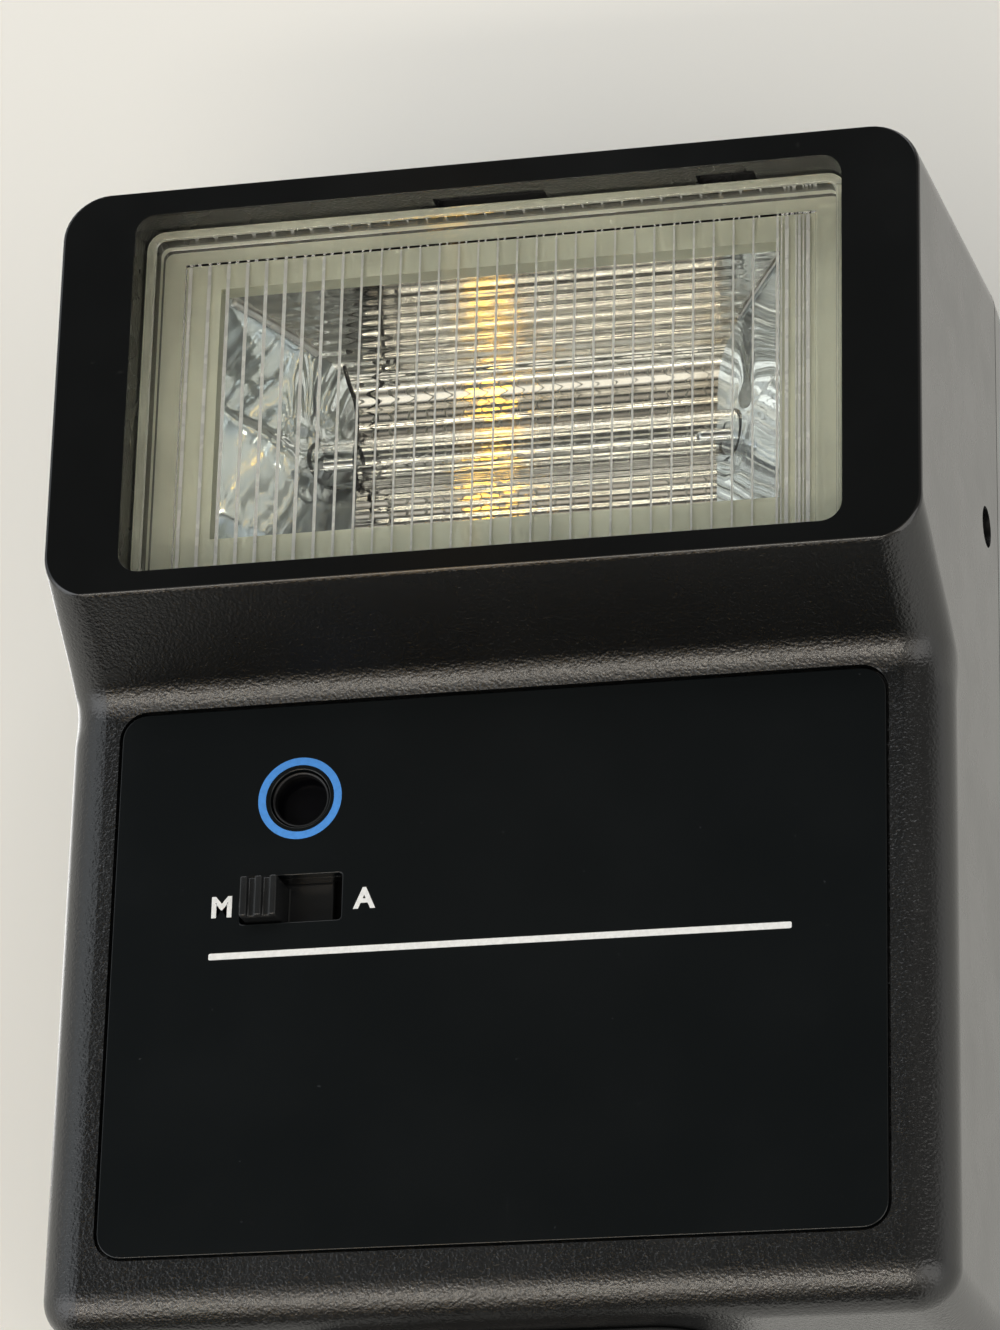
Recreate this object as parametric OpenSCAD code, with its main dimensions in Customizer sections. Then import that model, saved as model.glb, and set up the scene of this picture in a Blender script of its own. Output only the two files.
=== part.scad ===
// Shoe-mount electronic flash for a still camera.
// The flash stands upright and faces -Y. X runs across it and Z up.
// The origin is the centre of the shoe foot's flat underside.

/* [Body] */
// Width of the head's front face
body_w = 66; // [65:0.5:72]
// Height of the body above the foot, at the head's front
body_h = 86.8; // [86:0.2:92]
// Height of the head's front face
head_h = 33; // [32.5:0.1:35]
// Depth of the front shell, from the head's front to the seam
front_d = 28; // [27:0.5:32]
// Depth of the rear shell
rear_d = 9.5; // [9.5:0.5:13]
// How far the lower front lies behind the head's front
set_back = 8.5; // [7:0.1:9]
// How far the cove drops below the head
cove_drop = 5.2; // [4.6:0.1:5.6]
// Fillet radius at the foot of the cove
cove_r = 2.2; // [1:0.1:2.4]
// Widening of each side and of the top, from the head's front to the seam
flare = 1.4; // [0.8:0.1:2]
// Corner radius of the body, seen from the front
corner_r = 3.5; // [2.5:0.1:4.5]
// Edge radius round the lower front
edge_r = 3.2; // [2:0.1:3.6]
// Edge radius round the rear
rear_r = 3; // [2:0.1:3.5]
// Wall of both shells
wall = 2; // [1.8:0.1:2.2]
// Distance from the head's front back to the foot's centre
foot_back = 22; // [21:0.5:23]

/* [Window] */
// Width of the opening in the bezel
window_w = 54.4; // [52:0.2:57]
// Height of the opening in the bezel
window_h = 29.4; // [28:0.2:29.8]
// Bezel left above the opening
window_top = 2; // [1.8:0.1:2.6]
// Corner radius of the opening
window_r = 1.6; // [1:0.1:2.5]
// Depth of the window's rim behind the bezel
window_recess = 2.6; // [1.5:0.1:3.5]
// Thickness of the window's ribbed floor
lens_floor = 1.5; // [1.2:0.1:2]
// Height of the rim in front of the floor
lens_rim_h = 1.3; // [0.6:0.1:1.6]
// Width of the rim
lens_rim_w = 1.1; // [0.8:0.1:1.6]
// Pitch of the upright ribs
rib_pitch = 1.4; // [1:0.05:2]
// Depth of the ribs
rib_depth = 0.5; // [0.3:0.05:0.7]

/* [Reflector and flash tube] */
// Thickness of the surround behind the window
frame_t = 1.6; // [1.2:0.1:2]
// Ledge in the bezel that carries the surround
ledge_t = 1; // [0.8:0.1:1.5]
// Width of the reflector's mouth
reflector_w = 43.4; // [40:0.2:45]
// Height of the reflector's mouth
reflector_h = 20.8; // [19:0.2:21.4]
// Depth of the trough
reflector_d = 12.5; // [11:0.1:13]
// Reflector sheet
sheet_t = 0.5; // [0.3:0.05:0.6]
// Flange round the reflector's mouth
flange_w = 2; // [1.5:0.1:2.2]
// Radius of the flash tube
tube_r = 2; // [1.6:0.05:2.2]
// Distance of the tube's axis in front of the trough's bottom
tube_front = 3; // [2.8:0.1:3.5]
// Radius of the rubber sleeves
sleeve_r = 3.4; // [3:0.1:3.8]
// Length of each rubber sleeve
sleeve_l = 3; // [2:0.1:3.4]
// Length of each metal end cap
cap_l = 1.6; // [1:0.1:1.8]

/* [Front panel] */
// Width of the inlaid panel
panel_w = 57.8; // [54:0.2:58.4]
// Height of the inlaid panel
panel_h = 41.9; // [40:0.1:42.6]
// Distance of its upper edge below the head
panel_drop = 6.5; // [6.4:0.1:7.2]
// Panel thickness
panel_t = 0.8; // [0.5:0.05:1]
// Corner radius of the panel
panel_r = 1.9; // [1:0.1:2.5]
// Sensor hole, left of the middle
sensor_x = 14.9; // [12:0.1:16]
// Sensor hole, below the panel's upper edge
sensor_drop = 7.4; // [7.2:0.1:8.4]
// Radius of the sensor hole
sensor_r = 2.25; // [1.8:0.05:2.6]
// Mode slot, left of the middle
slot_x = 15.3; // [13:0.1:16.5]
// Mode slot, below the panel's upper edge
slot_drop = 15.2; // [15:0.1:16.5]
// Length of the mode slot
slot_w = 7.7; // [7:0.1:9]
// Height of the mode slot
slot_h = 3.6; // [3.2:0.1:4]
// Width of the mode knob
knob_w = 2.8; // [2.2:0.1:3.2]
// How far the mode knob stands out of the panel
knob_out = 1.2; // [0.6:0.1:1.6]

/* [Boards and inner parts] */
// Thickness of both boards
board_t = 1.6; // [1.2:0.1:1.8]
// Width of both boards
board_w = 48.4; // [46:0.2:48.8]
// Height of the front board
front_board_h = 39; // [37:0.5:40]
// Room between the lower front wall and the front board
front_stand = 4; // [3.8:0.1:4.6]
// Room behind the front board
board_back = 1.7; // [1.6:0.1:2.2]
// Height of the rear board
rear_board_h = 17; // [16.5:0.5:19]
// Room between the rear board and the rear wall
rear_stand = 3.6; // [3.6:0.1:4.2]
// Radius of the main capacitor
capacitor_r = 6.5; // [5.5:0.1:6.8]
// Length of the main capacitor
capacitor_l = 38; // [34:0.5:42]
// Width of the transformer
transformer_w = 14; // [12:0.2:15]
// Height of the transformer
transformer_h = 12; // [11:0.2:13]
// Radius of the trigger coil
coil_r = 2.8; // [2.2:0.1:3]
// Length of the trigger coil
coil_l = 10; // [8:0.2:12]

/* [Rear controls] */
// Distance of the power knob and the test button from the middle
control_x = 15; // [13:0.2:16]
// Travel of the power knob
power_travel = 4; // [3:0.1:4.5]
// Width of the power knob
power_w = 5; // [4:0.1:6]
// Height of the power knob
power_h = 4; // [3:0.1:5]
// Radius of the test button
button_r = 3.6; // [3:0.1:4]
// Travel of the test button
button_travel = 0.8; // [0.5:0.05:1]
// How far the test button and the power knob stand out
control_out = 1.4; // [1:0.1:1.8]
// Radius of the ready window
ready_r = 2.6; // [2:0.1:3]
// Width of the rear panel
rear_panel_w = 50; // [46:0.5:51]
// Height of the rear panel
rear_panel_h = 27; // [24:0.5:28]
// Rear panel's upper edge below the head's top
rear_panel_top = 4.5; // [4:0.1:5]
// Thickness of the rear panel
rear_panel_t = 0.6; // [0.4:0.05:0.8]

/* [Batteries] */
// Diameter of a cell
cell_d = 14.5; // [14:0.1:14.8]
// Length of a cell with its button
cell_l = 50.5; // [50:0.1:51]
// Room for each coil spring
spring_l = 3.6; // [3.4:0.1:4]
// Wall of the battery tray
tray_t = 1.2; // [1:0.1:1.4]
// Thickness of the contact plates
contact_t = 0.4; // [0.3:0.05:0.5]
// Width of the battery door
door_w = 58; // [57:0.2:58.4]
// Height of the battery door
door_h = 33.5; // [33:0.1:34]
// Depth of the door's side tongues
tongue_w = 1.1; // [0.8:0.1:1.3]

/* [Foot] */
// Width of the foot plate
plate_w = 18.5; // [18:0.1:18.6]
// Length of the foot plate
plate_l = 18; // [16:0.5:20]
// Thickness of the foot plate
plate_t = 2; // [1.8:0.05:2.05]
// Height of the gap that takes the shoe's rails
rail_gap = 2.3; // [2.2:0.1:3]
// Width of the neck between the rails
neck_w = 12.3; // [11.5:0.1:12.5]
// Width of the block above the rails
block_w = 30; // [28:0.5:32]
// Length of the block above the rails
block_l = 19; // [18:0.5:19.5]
// Height of the block above the rails
block_h = 5.7; // [5:0.1:8]
// Corner radius of the block
block_r = 4; // [2:0.1:5]
// Radius of the contact pin
pin_r = 1.1; // [0.9:0.05:1.2]
// How far the contact pin stands out of the foot
pin_out = 0.6; // [0.4:0.05:0.7]

/* [Side socket] */
// Radius of the plug hole
socket_r = 1.3; // [1.2:0.05:1.45]
// Depth of the plug hole
socket_l = 10; // [9:0.2:11]
// Distance of the socket behind the head's front
socket_back = 23.7; // [23:0.1:24]
// Height of the socket above the head's lower edge
socket_up = 10.5; // [9.5:0.1:11]

/* [Fits] */
// Clearance round a piece that is seated
seat_gap = 0.1; // [0.05:0.01:0.15]
// Clearance round a piece that slides
slide_gap = 0.25; // [0.2:0.01:0.3]
// Radial clearance of the contact pin
pin_gap = 0.05; // [0.03:0.01:0.08]

/* [Hidden] */
$fn = 48;
hull_fn = 32;
slab_t = 0.01;
cut = 1;
least_r = 0.5;

// Levels across the depth
y_head = -foot_back;
y_low = y_head + set_back;
y_seam = y_head + front_d;
y_rear = y_seam + rear_d;
y_rear_in = y_rear - wall;

// Levels in height
z_block = plate_t + rail_gap;
z_floor = z_block + block_h;
z_top = z_floor + body_h;
z_head = z_top - head_h;
z_in = z_floor + wall;
seam_w = body_w + 2 * flare;
seam_top = z_top + flare;

// Half width and top of the front shell at a depth
function half_w(y) = body_w / 2 + flare * (y - y_head) / front_d;
function top_z(y) = z_top + flare * (y - y_head) / front_d;

// Window, surround and reflector
z_win = z_top - window_top - window_h / 2;
lens_t = lens_floor + lens_rim_h;
y_lens = y_head + window_recess;
y_frame = y_lens + lens_t;
y_ledge = y_frame + frame_t;
y_cavity = y_ledge + ledge_t;
y_trough = y_ledge + reflector_d;
y_tube = y_trough - tube_front;
tube_half = reflector_w / 2 + sheet_t + sleeve_l;
trough_steps = 24;
tube_room = 0.3;
sleeve_fit = 0.02;
rib_steps = 6;

// Front panel, sensor and mode switch
z_panel = z_head - panel_drop;
z_panel_mid = z_panel - panel_h / 2;
z_sensor = z_panel - sensor_drop;
z_slot = z_panel - slot_drop;
y_in = y_low + wall;
sensor_wall = 0.85;
sensor_flange = 0.8;
sensor_room = 0.2;
sensor_lens_fit = 0.03;
sensor_lens_sink = 0.9;
sensor_lens_t = 1;
sensor_cell_gap = 0.3;
sensor_cell_l = 1.8;
carriage_t = 0.9;
carriage_lap_x = 1;
carriage_lap_z = 0.8;
carriage_w = slot_w + 2 * carriage_lap_x;
carriage_h = slot_h + 2 * carriage_lap_z;
ridge_out = 0.4;
knob_h = slot_h - 2 * slide_gap;
knob_x = -slot_x - slot_w / 2 + slide_gap + knob_w / 2;
mode_travel = slot_w - knob_w - 2 * slide_gap;
y_carriage = y_in + slide_gap;
y_board = y_in + front_stand;
base_t = front_stand - carriage_t - 2 * slide_gap;
board_post_r = 2.2;
post_floor = 0.6;
post_inset = 3;
board_corner = 1;
board_post_x = board_w / 2 - post_inset;
board_post_z = front_board_h / 2 - post_inset;
// Corners of the front board that are screwed down; the sensor takes up the fourth
board_posts = [[-1, -1], [1, -1], [1, 1]];

// Small components on the front board
part_room = 1;
resistor_r = 0.95;
resistor_l = 6;
resistor_step = 4;
resistor_up = 4.5;
can_r = 2;
can_h = 3;
can_step = 6;
can_x = 2;
can_up = 12;
chip_w = 4;
chip_h = 3;
chip_step = 7;
chip_up = -10.5;
part_inset = 12;
part_x = board_w / 2 - part_inset;

// Battery tray and cells
tray_gap = 0.25;
end_gap = 0.1;
cell_r = cell_d / 2;
cell_button_r = 2.75;
cell_button_l = 1.2;
y_tray = y_board + board_t + board_back;
y_cell = y_tray + tray_t + tray_gap + cell_r;
z_cell = z_in + tray_t + tray_gap + cell_r;
cell_step = cell_d + 2 * tray_gap;
tray_in = cell_l + spring_l + 2 * contact_t + 2 * end_gap;
tray_h = cell_step + cell_d + 2 * tray_gap + 2 * tray_t;
z_tray_top = z_in + tray_h;
wire_r = 0.28;
spring_turns = 3;
spring_top_r = 2.2;
spring_base_r = 5;
spring_room = 0.05;
tray_room = 0.3;
plate_lap = 2;
plate_inset = 1;
ring_steps = 8;
wire_sides = 6;

// Rear board and controls
y_rear_board = y_rear_in - rear_stand - board_t;
board_lift = 1.6;
z_rear_board = z_tray_top + board_lift;
z_control = z_rear_board + rear_board_h / 2;
rear_post_inset = 2.6;
rear_post_z = rear_board_h / 2 - rear_post_inset;
power_slot_w = power_w + power_travel + 2 * slide_gap;
power_x = -control_x - power_travel / 2;
power_base_t = rear_stand - carriage_t - 2 * slide_gap;
button_flange_t = 0.7;
button_flange_w = 0.9;
press_gap = 0.3;
button_base_t = rear_stand - slide_gap - button_flange_t - button_travel - press_gap;
ready_flange_t = 0.4;
ready_flange_w = 0.7;
ready_out = 0.3;
lamp_r = 1.4;
lamp_l = 8;
capacitor_x = -3;
capacitor_gap = 0.3;
capacitor_drop = 0.6;
y_capacitor = y_rear_in - capacitor_gap - capacitor_r;
z_capacitor = z_top - wall - capacitor_r - capacitor_drop;
saddle_t = 2;
transformer_d = 9;
core_d = 5;
leg_w = 2;
transformer_x = -10;
z_transformer = z_rear_board + rear_board_h / 2;
y_transformer = y_rear_board - transformer_d / 2;
core_room = (transformer_w - 3 * leg_w) / 2;
coil_x = 8;
coil_flange_t = 0.8;
coil_flange_w = 0.4;

// Battery door, its tongues and the rails beside it
door_top = z_floor + door_h;
rail_wall = 0.6;
rail_w = tongue_w + slide_gap + rail_wall;
rail_d = 1;
tongue_t = 0.8;
tongue_room = 0.4;
tongue_drop = 1;
tongue_low = 1.5;
tongue_lift = 0.45;
y_tongue = y_rear_in + tongue_lift;
z_tongue = z_floor + tongue_low;
grip_w = 16;
grip_ribs = 5;
grip_step = 1.8;
grip_drop = 5;
grip_rib = 0.8;
grip_out = 0.4;

// Fasteners
screw_r = 1;
screw_head_r = 2;
screw_head_t = 1.4;
screw_l = 14;
screw_gap = 0.06;
recess_span = 1.4;
recess_width = 0.3;
boss_r = 3.8;
boss_l = 14;
boss_rib = 3;
boss_gap = 0.6;
boss_drop = 5.5;
boss_room = 0.7;
boss_x = board_w / 2 + boss_room + boss_r;
boss_z = [z_tray_top + boss_r + boss_gap, z_top - boss_drop];
screw_sink = 3;
board_screw_r = 0.8;
board_screw_head_r = 1.6;
board_screw_head_t = 1;
board_screw_l = 4.4;
foot_screw_l = 5.9;
foot_screw_inset = 3.3;
foot_screw_x = block_w / 2 - foot_screw_inset;
foot_screw_y = [-6.5, 2.8];
foot_sink = 1.6;
rivet_r = 1.2;
rivet_inset = 3;
rivet_y = plate_l / 2 - rivet_inset;
rivet_sink = 0.2;
rivet_hold = 2;
rivet_l = z_block + rivet_hold;
neck_r = 0.8;
plate_r = 1.2;

// Earth contact on the foot plate
ground_t = 0.3;
ground_gap = 0.4;
ground_edge = 0.3;
ground_inset = 3;

// Contact pin
pin_collar_r = 1.8;
pin_collar_t = 0.8;
pin_shelf = 1;
pin_stem_r = 0.9;
pin_stem_l = 2.2;
pin_well_r = 2;
spring_fit = 0.2;
z_collar = z_block + pin_shelf;

// Side socket
y_socket = y_head + socket_back;
z_socket = z_head + socket_up;
x_socket = half_w(y_socket) - wall;
socket_wall = 1.3;
socket_end = 1;
collar_w = 1;
collar_l = 3;
entry_gap = 0.3;
entry_r = socket_r + entry_gap;

// Insulated lead from a cap of the tube down to the rear board
lead_r = 0.5;
lead_gap = 0.05;
lead_side = tube_half + cap_l + lead_r + lead_gap;
z_board_top = z_rear_board + rear_board_h;
lead_points = [
  [lead_side, y_tube, z_win],
  [lead_side + 0.6, y_tube + 0.3, z_win],
  [lead_side + 1, y_tube + 1.4, z_win],
  [lead_side + 1, y_tube + 5, z_win - 0.4],
  [lead_side + 0.8, y_rear_board - 3, z_win - 1.4],
  [lead_side - 0.4, y_rear_board - 0.6, z_win - 6],
  [board_w / 2 - 2, y_rear_board - 0.2, z_board_top + 4],
  [board_post_x, y_rear_board + board_t / 2, z_board_top + 2],
  [board_post_x, y_rear_board + board_t / 2, z_board_top + lead_gap]];

// Rounded rectangle in the plane, centred
module rounded(w, h, r) {
  square([w - 2 * r, h], center = true);
  square([w, h - 2 * r], center = true);
  for (sx = [-1, 1], sy = [-1, 1])
    translate([sx * (w / 2 - r), sy * (h / 2 - r)]) circle(r);
}

// Upright plate with a rounded outline, between two depths
module plate_y(w, z0, z1, r, y0, y1) {
  translate([0, y1, (z0 + z1) / 2]) rotate([90, 0, 0])
    linear_extrude(y1 - y0) rounded(w, z1 - z0, r);
}

// Thin section of the body, for hulls
module section(w, z0, z1, r, y) {
  plate_y(w, z0, z1, r, y, y + slab_t, $fn = hull_fn);
}

// Block between two corners
module block(low, high) {
  translate(low) cube(high - low);
}

// Round bar along Y from y0 to y1
module bar_y(x, z, r, y0, y1) {
  translate([x, y1, z]) rotate([90, 0, 0]) cylinder(r = r, h = y1 - y0);
}

// Round bar along X from x0 to x1
module bar_x(y, z, r, x0, x1) {
  translate([x0, y, z]) rotate([0, 90, 0]) cylinder(r = r, h = x1 - x0);
}

// Shape drawn in depth and height, carried across the body
module across(w) {
  rotate([90, 0, 90]) linear_extrude(w, center = true) children();
}

// Tube swept along a list of points
function unit(v) = v / norm(v);
function along(p, i) = unit(p[min(i + 1, len(p) - 1)] - p[max(i - 1, 0)]);
function side(t) = unit(cross(t, [0.31, 0.52, 0.8]));
function ring(p, i, r) = let (t = along(p, i), a = side(t), b = cross(t, a))
  [for (k = [0:wire_sides - 1]) let (turn = 360 * k / wire_sides)
    p[i] + r * (cos(turn) * a + sin(turn) * b)];
module swept(p, r) {
  n = wire_sides;
  last = len(p) - 1;
  pts = [for (i = [0:last]) each ring(p, i, r)];
  walls = [for (i = [0:last - 1], k = [0:n - 1])
    let (a = i * n + k, b = i * n + (k + 1) % n)
    each [[a, a + n, b], [b, a + n, b + n]]];
  ends = [for (k = [1:n - 2]) each [[0, k, k + 1], [last * n, last * n + k + 1, last * n + k]]];
  polyhedron(points = pts, faces = concat(walls, ends));
}

// Screw along +Y, its head at the rear
module screw_y(x, y, z, r, head_r, head_t, length) {
  difference() {
    union() {
      bar_y(x, z, r, y - length, y);
      bar_y(x, z, head_r, y, y + head_t);
    }
    for (turn = [0, 90])
      translate([x, y + head_t, z]) rotate([0, turn, 0])
        cube([recess_span * head_r, head_t, recess_width * head_r], center = true);
  }
}

// Fillet at the foot of the cove, drawn in depth and height
module cove_fillet() {
  slope = atan(cove_drop / set_back);
  reach = cove_r * tan((90 - slope) / 2);
  corner = [y_low, z_head - cove_drop];
  centre = [y_low - cove_r, corner[1] - reach];
  touch = corner + reach * [-cos(slope), sin(slope)];
  difference() {
    polygon([corner + [cut, cut], touch + cut * [sin(slope), cos(slope)], touch, centre,
      [y_low, centre[1]], [y_low + cut, centre[1]]]);
    translate(centre) circle(cove_r);
  }
}

// Outer corner strip removed to round the lower front's upright edges
module upright_round() {
  lean = flare / front_d;
  root = sqrt(1 + lean * lean);
  y_c = y_low + edge_r;
  x_c = half_w(y_c) - edge_r * root;
  y_side = y_c - edge_r * lean / root;
  difference() {
    polygon([[x_c, y_low - cut], [x_c + 2 * edge_r, y_low - cut], [x_c + 2 * edge_r, y_side],
      [x_c + edge_r / root, y_side], [x_c, y_c]]);
    translate([x_c, y_c]) circle(edge_r);
  }
}

// Outer strip removed to round the lower front's bottom edge
module floor_round() {
  difference() {
    polygon([[y_low - cut, z_floor - cut], [y_low + edge_r, z_floor - cut],
      [y_low + edge_r, z_floor + edge_r], [y_low - cut, z_floor + edge_r]]);
    translate([y_low + edge_r, z_floor + edge_r]) circle(edge_r);
  }
}

// Head in front of the lower body, with the cove as its sloping underside
module head_outer() {
  lap = 2;
  hull() {
    section(body_w, z_head, z_top, corner_r, y_head);
    section(2 * half_w(y_low), z_head - cove_drop, top_z(y_low), corner_r, y_low);
    section(body_w - lap, z_head - cove_drop + lap, z_top - lap, corner_r, y_low + lap);
  }
}

module front_outer() {
  head_outer();
  across(2 * (half_w(y_low) - corner_r)) cove_fillet();
  difference() {
    hull() {
      section(2 * half_w(y_low), z_floor, top_z(y_low), corner_r, y_low);
      section(seam_w, z_floor, seam_top, corner_r, y_seam - slab_t);
    }
    across(2 * seam_w) floor_round();
    for (s = [0, 1]) mirror([s, 0, 0]) translate([0, 0, z_floor - cut])
      linear_extrude(z_head - cove_drop - z_floor + cut + corner_r / 2) upright_round();
  }
}

module front_inner() {
  inner_r = max(corner_r - wall, least_r);
  difference() {
    hull() {
      section(2 * (half_w(y_cavity) - wall), z_in, top_z(y_cavity) - wall, inner_r, y_cavity);
      section(seam_w - 2 * wall, z_in, seam_top - wall, inner_r, y_seam + cut);
    }
    block([-seam_w, y_cavity - cut, z_floor], [seam_w, y_in, z_head]);
  }
}

// Screw bosses beside the boards, each with a rib to the side wall
module bosses(y0, y1) {
  for (s = [0, 1], z = boss_z) mirror([s, 0, 0]) {
    bar_y(boss_x, z, boss_r, y0, y1);
    block([boss_x, y0, z - boss_rib / 2], [seam_w / 2, y1, z + boss_rib / 2]);
  }
}

// Room inside the front shell, round the bosses, the board's posts and the socket's collar
module front_cavity() difference() {
  front_inner();
  bosses(y_seam - boss_l, y_seam + 2 * cut);
  for (p = board_posts)
    bar_y(p[0] * board_post_x, z_panel_mid + p[1] * board_post_z, board_post_r, y_in - cut, y_board);
  bar_x(y_socket, z_socket, socket_r + socket_wall + seat_gap + collar_w,
    x_socket - collar_l, x_socket + wall);
}

module front_shell() color("#161819") difference() {
  front_outer();
  front_cavity();
  plate_y(window_w, z_win - window_h / 2, z_win + window_h / 2, window_r, y_head - cut, y_ledge);
  plate_y(reflector_w + 2 * (flange_w + seat_gap), z_win - reflector_h / 2 - flange_w - seat_gap,
    z_win + reflector_h / 2 + flange_w + seat_gap, window_r, y_ledge - cut, y_cavity + cut);
  plate_y(panel_w + 2 * seat_gap, z_panel - panel_h - seat_gap, z_panel + seat_gap,
    panel_r + seat_gap, y_low - cut, y_low + panel_t);
  bar_y(-sensor_x, z_sensor, sensor_r + sensor_wall + seat_gap, y_low, y_in + cut);
  translate([-slot_x, 0, 0])
    block([-slot_w / 2, y_low, z_slot - slot_h / 2], [slot_w / 2, y_in + cut, z_slot + slot_h / 2]);
  for (s = [-1, 1], z = boss_z)
    bar_y(s * boss_x, z, screw_r + screw_gap, y_seam - boss_l + cut, y_seam + cut);
  for (p = board_posts)
    bar_y(p[0] * board_post_x, z_panel_mid + p[1] * board_post_z, board_screw_r + screw_gap,
      y_in + post_floor, y_board + cut);
  bar_x(y_socket, z_socket, socket_r + socket_wall + seat_gap, x_socket - collar_l - cut, x_socket);
  bar_x(y_socket, z_socket, entry_r, x_socket - cut, seam_w);
  for (s = [-1, 1], y = foot_screw_y)
    translate([s * foot_screw_x, y, z_floor - cut]) cylinder(r = screw_r + screw_gap, h = wall + 2 * cut);
}

module rear_outer() {
  hull() {
    section(seam_w, z_floor, seam_top, corner_r, y_seam);
    for (a = [0:22.5:90])
      let (inset = rear_r * (1 - cos(a)))
      section(seam_w - 2 * inset, z_floor + inset, seam_top - inset, max(corner_r - inset, least_r),
        y_rear - rear_r * (1 - sin(a)) - slab_t);
  }
}

module rear_inner() {
  inner_r = max(corner_r - wall, least_r);
  inset = 0.4 * rear_r;
  hull() {
    section(seam_w - 2 * wall, z_in, seam_top - wall, inner_r, y_seam - cut);
    section(seam_w - 2 * wall, z_in, seam_top - wall, inner_r, y_rear_in - rear_r / 2);
    section(seam_w - 2 * (wall + inset), z_in + inset, seam_top - wall - inset, inner_r, y_rear_in - slab_t);
  }
}

// Room inside the rear shell, round its bosses, posts, door rails and the capacitor's saddles
module rear_cavity() difference() {
  rear_inner();
  bosses(y_seam - 2 * cut, y_rear);
  for (s = [0, 1]) mirror([s, 0, 0])
    block([door_w / 2, y_rear_in - rail_d, z_floor], [door_w / 2 + rail_w, y_rear, door_top]);
  for (sx = [-1, 1], sz = [-1, 1])
    bar_y(sx * board_post_x, z_control + sz * rear_post_z, board_post_r, y_rear_in - rear_stand, y_rear);
  for (s = [-1, 1]) let (x = capacitor_x + s * capacitor_l / 4)
    block([x - saddle_t / 2, y_capacitor, z_capacitor - capacitor_r - cut],
      [x + saddle_t / 2, y_rear, z_capacitor + capacitor_r]);
}

module rear_shell() color("#1a1b1c") difference() {
  rear_outer();
  rear_cavity();
  block([-door_w / 2, y_rear_in - rail_d - cut, z_in], [door_w / 2, y_rear + cut, door_top]);
  block([-door_w / 2, y_rear_in, z_floor - cut], [door_w / 2, y_rear + cut, door_top]);
  for (s = [0, 1]) mirror([s, 0, 0])
    block([door_w / 2 - cut, y_tongue - slide_gap, z_floor - cut],
      [door_w / 2 + tongue_w + slide_gap, y_tongue + tongue_t + slide_gap,
        door_top - tongue_drop + tongue_room]);
  bar_x(y_capacitor, z_capacitor, capacitor_r + seat_gap,
    capacitor_x - capacitor_l / 2 - cut, capacitor_x + capacitor_l / 2 + cut);
  plate_y(rear_panel_w + 2 * seat_gap, z_top - rear_panel_top - rear_panel_h - seat_gap,
    z_top - rear_panel_top + seat_gap, panel_r, y_rear - rear_panel_t, y_rear + cut);
  for (s = [-1, 1], z = boss_z) {
    bar_y(s * boss_x, z, screw_r + screw_gap, y_seam - cut, y_rear + cut);
    bar_y(s * boss_x, z, screw_head_r + seat_gap, y_rear - screw_sink, y_rear + cut);
  }
  for (sx = [-1, 1], sz = [-1, 1])
    bar_y(sx * board_post_x, z_control + sz * rear_post_z, board_screw_r + screw_gap,
      y_rear_in - rear_stand - cut, y_rear_in - post_floor);
  translate([-control_x, 0, 0])
    block([-power_slot_w / 2, y_rear_in - cut, z_control - power_h / 2 - slide_gap],
      [power_slot_w / 2, y_rear + cut, z_control + power_h / 2 + slide_gap]);
  bar_y(0, z_control, ready_r + seat_gap, y_rear_in - cut, y_rear + cut);
  bar_y(control_x, z_control, button_r + slide_gap, y_rear_in - cut, y_rear + cut);
}

module front_panel() color("#0d1115") difference() {
  plate_y(panel_w, z_panel - panel_h, z_panel, panel_r, y_low, y_low + panel_t);
  bar_y(-sensor_x, z_sensor, sensor_r, y_low - cut, y_low + wall);
  translate([-slot_x, 0, 0])
    block([-slot_w / 2, y_low - cut, z_slot - slot_h / 2], [slot_w / 2, y_in, z_slot + slot_h / 2]);
}

module rear_panel() color("#202325")
  plate_y(rear_panel_w, z_top - rear_panel_top - rear_panel_h, z_top - rear_panel_top, panel_r,
    y_rear - rear_panel_t, y_rear);

// The door follows the rounded rear edge, with tongues at its sides and a ribbed grip
module battery_door() color("#1a1b1c") {
  intersection() {
    rear_outer();
    block([-door_w / 2 + slide_gap, y_rear_in + seat_gap, z_floor - cut],
      [door_w / 2 - slide_gap, y_rear + cut, door_top - slide_gap]);
  }
  for (s = [0, 1]) mirror([s, 0, 0])
    block([door_w / 2 - slide_gap - cut, y_tongue, z_tongue],
      [door_w / 2 + tongue_w, y_tongue + tongue_t, door_top - tongue_drop]);
  for (i = [0:grip_ribs - 1])
    translate([-grip_w / 2, y_rear - cut, door_top - grip_drop - i * grip_step])
      cube([grip_w, cut + grip_out, grip_rib]);
}

// Clear tray: a rim in front of a floor whose back carries upright ribs
module flash_window() color("#d8dcc8", 0.4) {
  lens_w = window_w - 2 * seat_gap;
  lens_h = window_h - 2 * seat_gap;
  ribs = floor((lens_w - 2 * lens_rim_w) / rib_pitch / 2) * 2;
  half = ribs * rib_pitch / 2;
  y_floor = y_lens + lens_rim_h;
  y_valley = y_frame - rib_depth;
  difference() {
    plate_y(lens_w, z_win - lens_h / 2, z_win + lens_h / 2, window_r - seat_gap, y_lens, y_frame);
    plate_y(lens_w - 2 * lens_rim_w, z_win - lens_h / 2 + lens_rim_w,
      z_win + lens_h / 2 - lens_rim_w, max(window_r - lens_rim_w, least_r), y_lens - cut, y_floor);
    translate([0, 0, z_win - lens_h / 2 + lens_rim_w]) linear_extrude(lens_h - 2 * lens_rim_w)
      polygon(concat([[half, y_frame + cut], [-half, y_frame + cut]],
        [for (i = [0:ribs * rib_steps]) let (x = -half + i * rib_pitch / rib_steps)
          [x, y_valley + rib_depth * abs(sin(180 * i / rib_steps))]]));
  }
}

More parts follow.
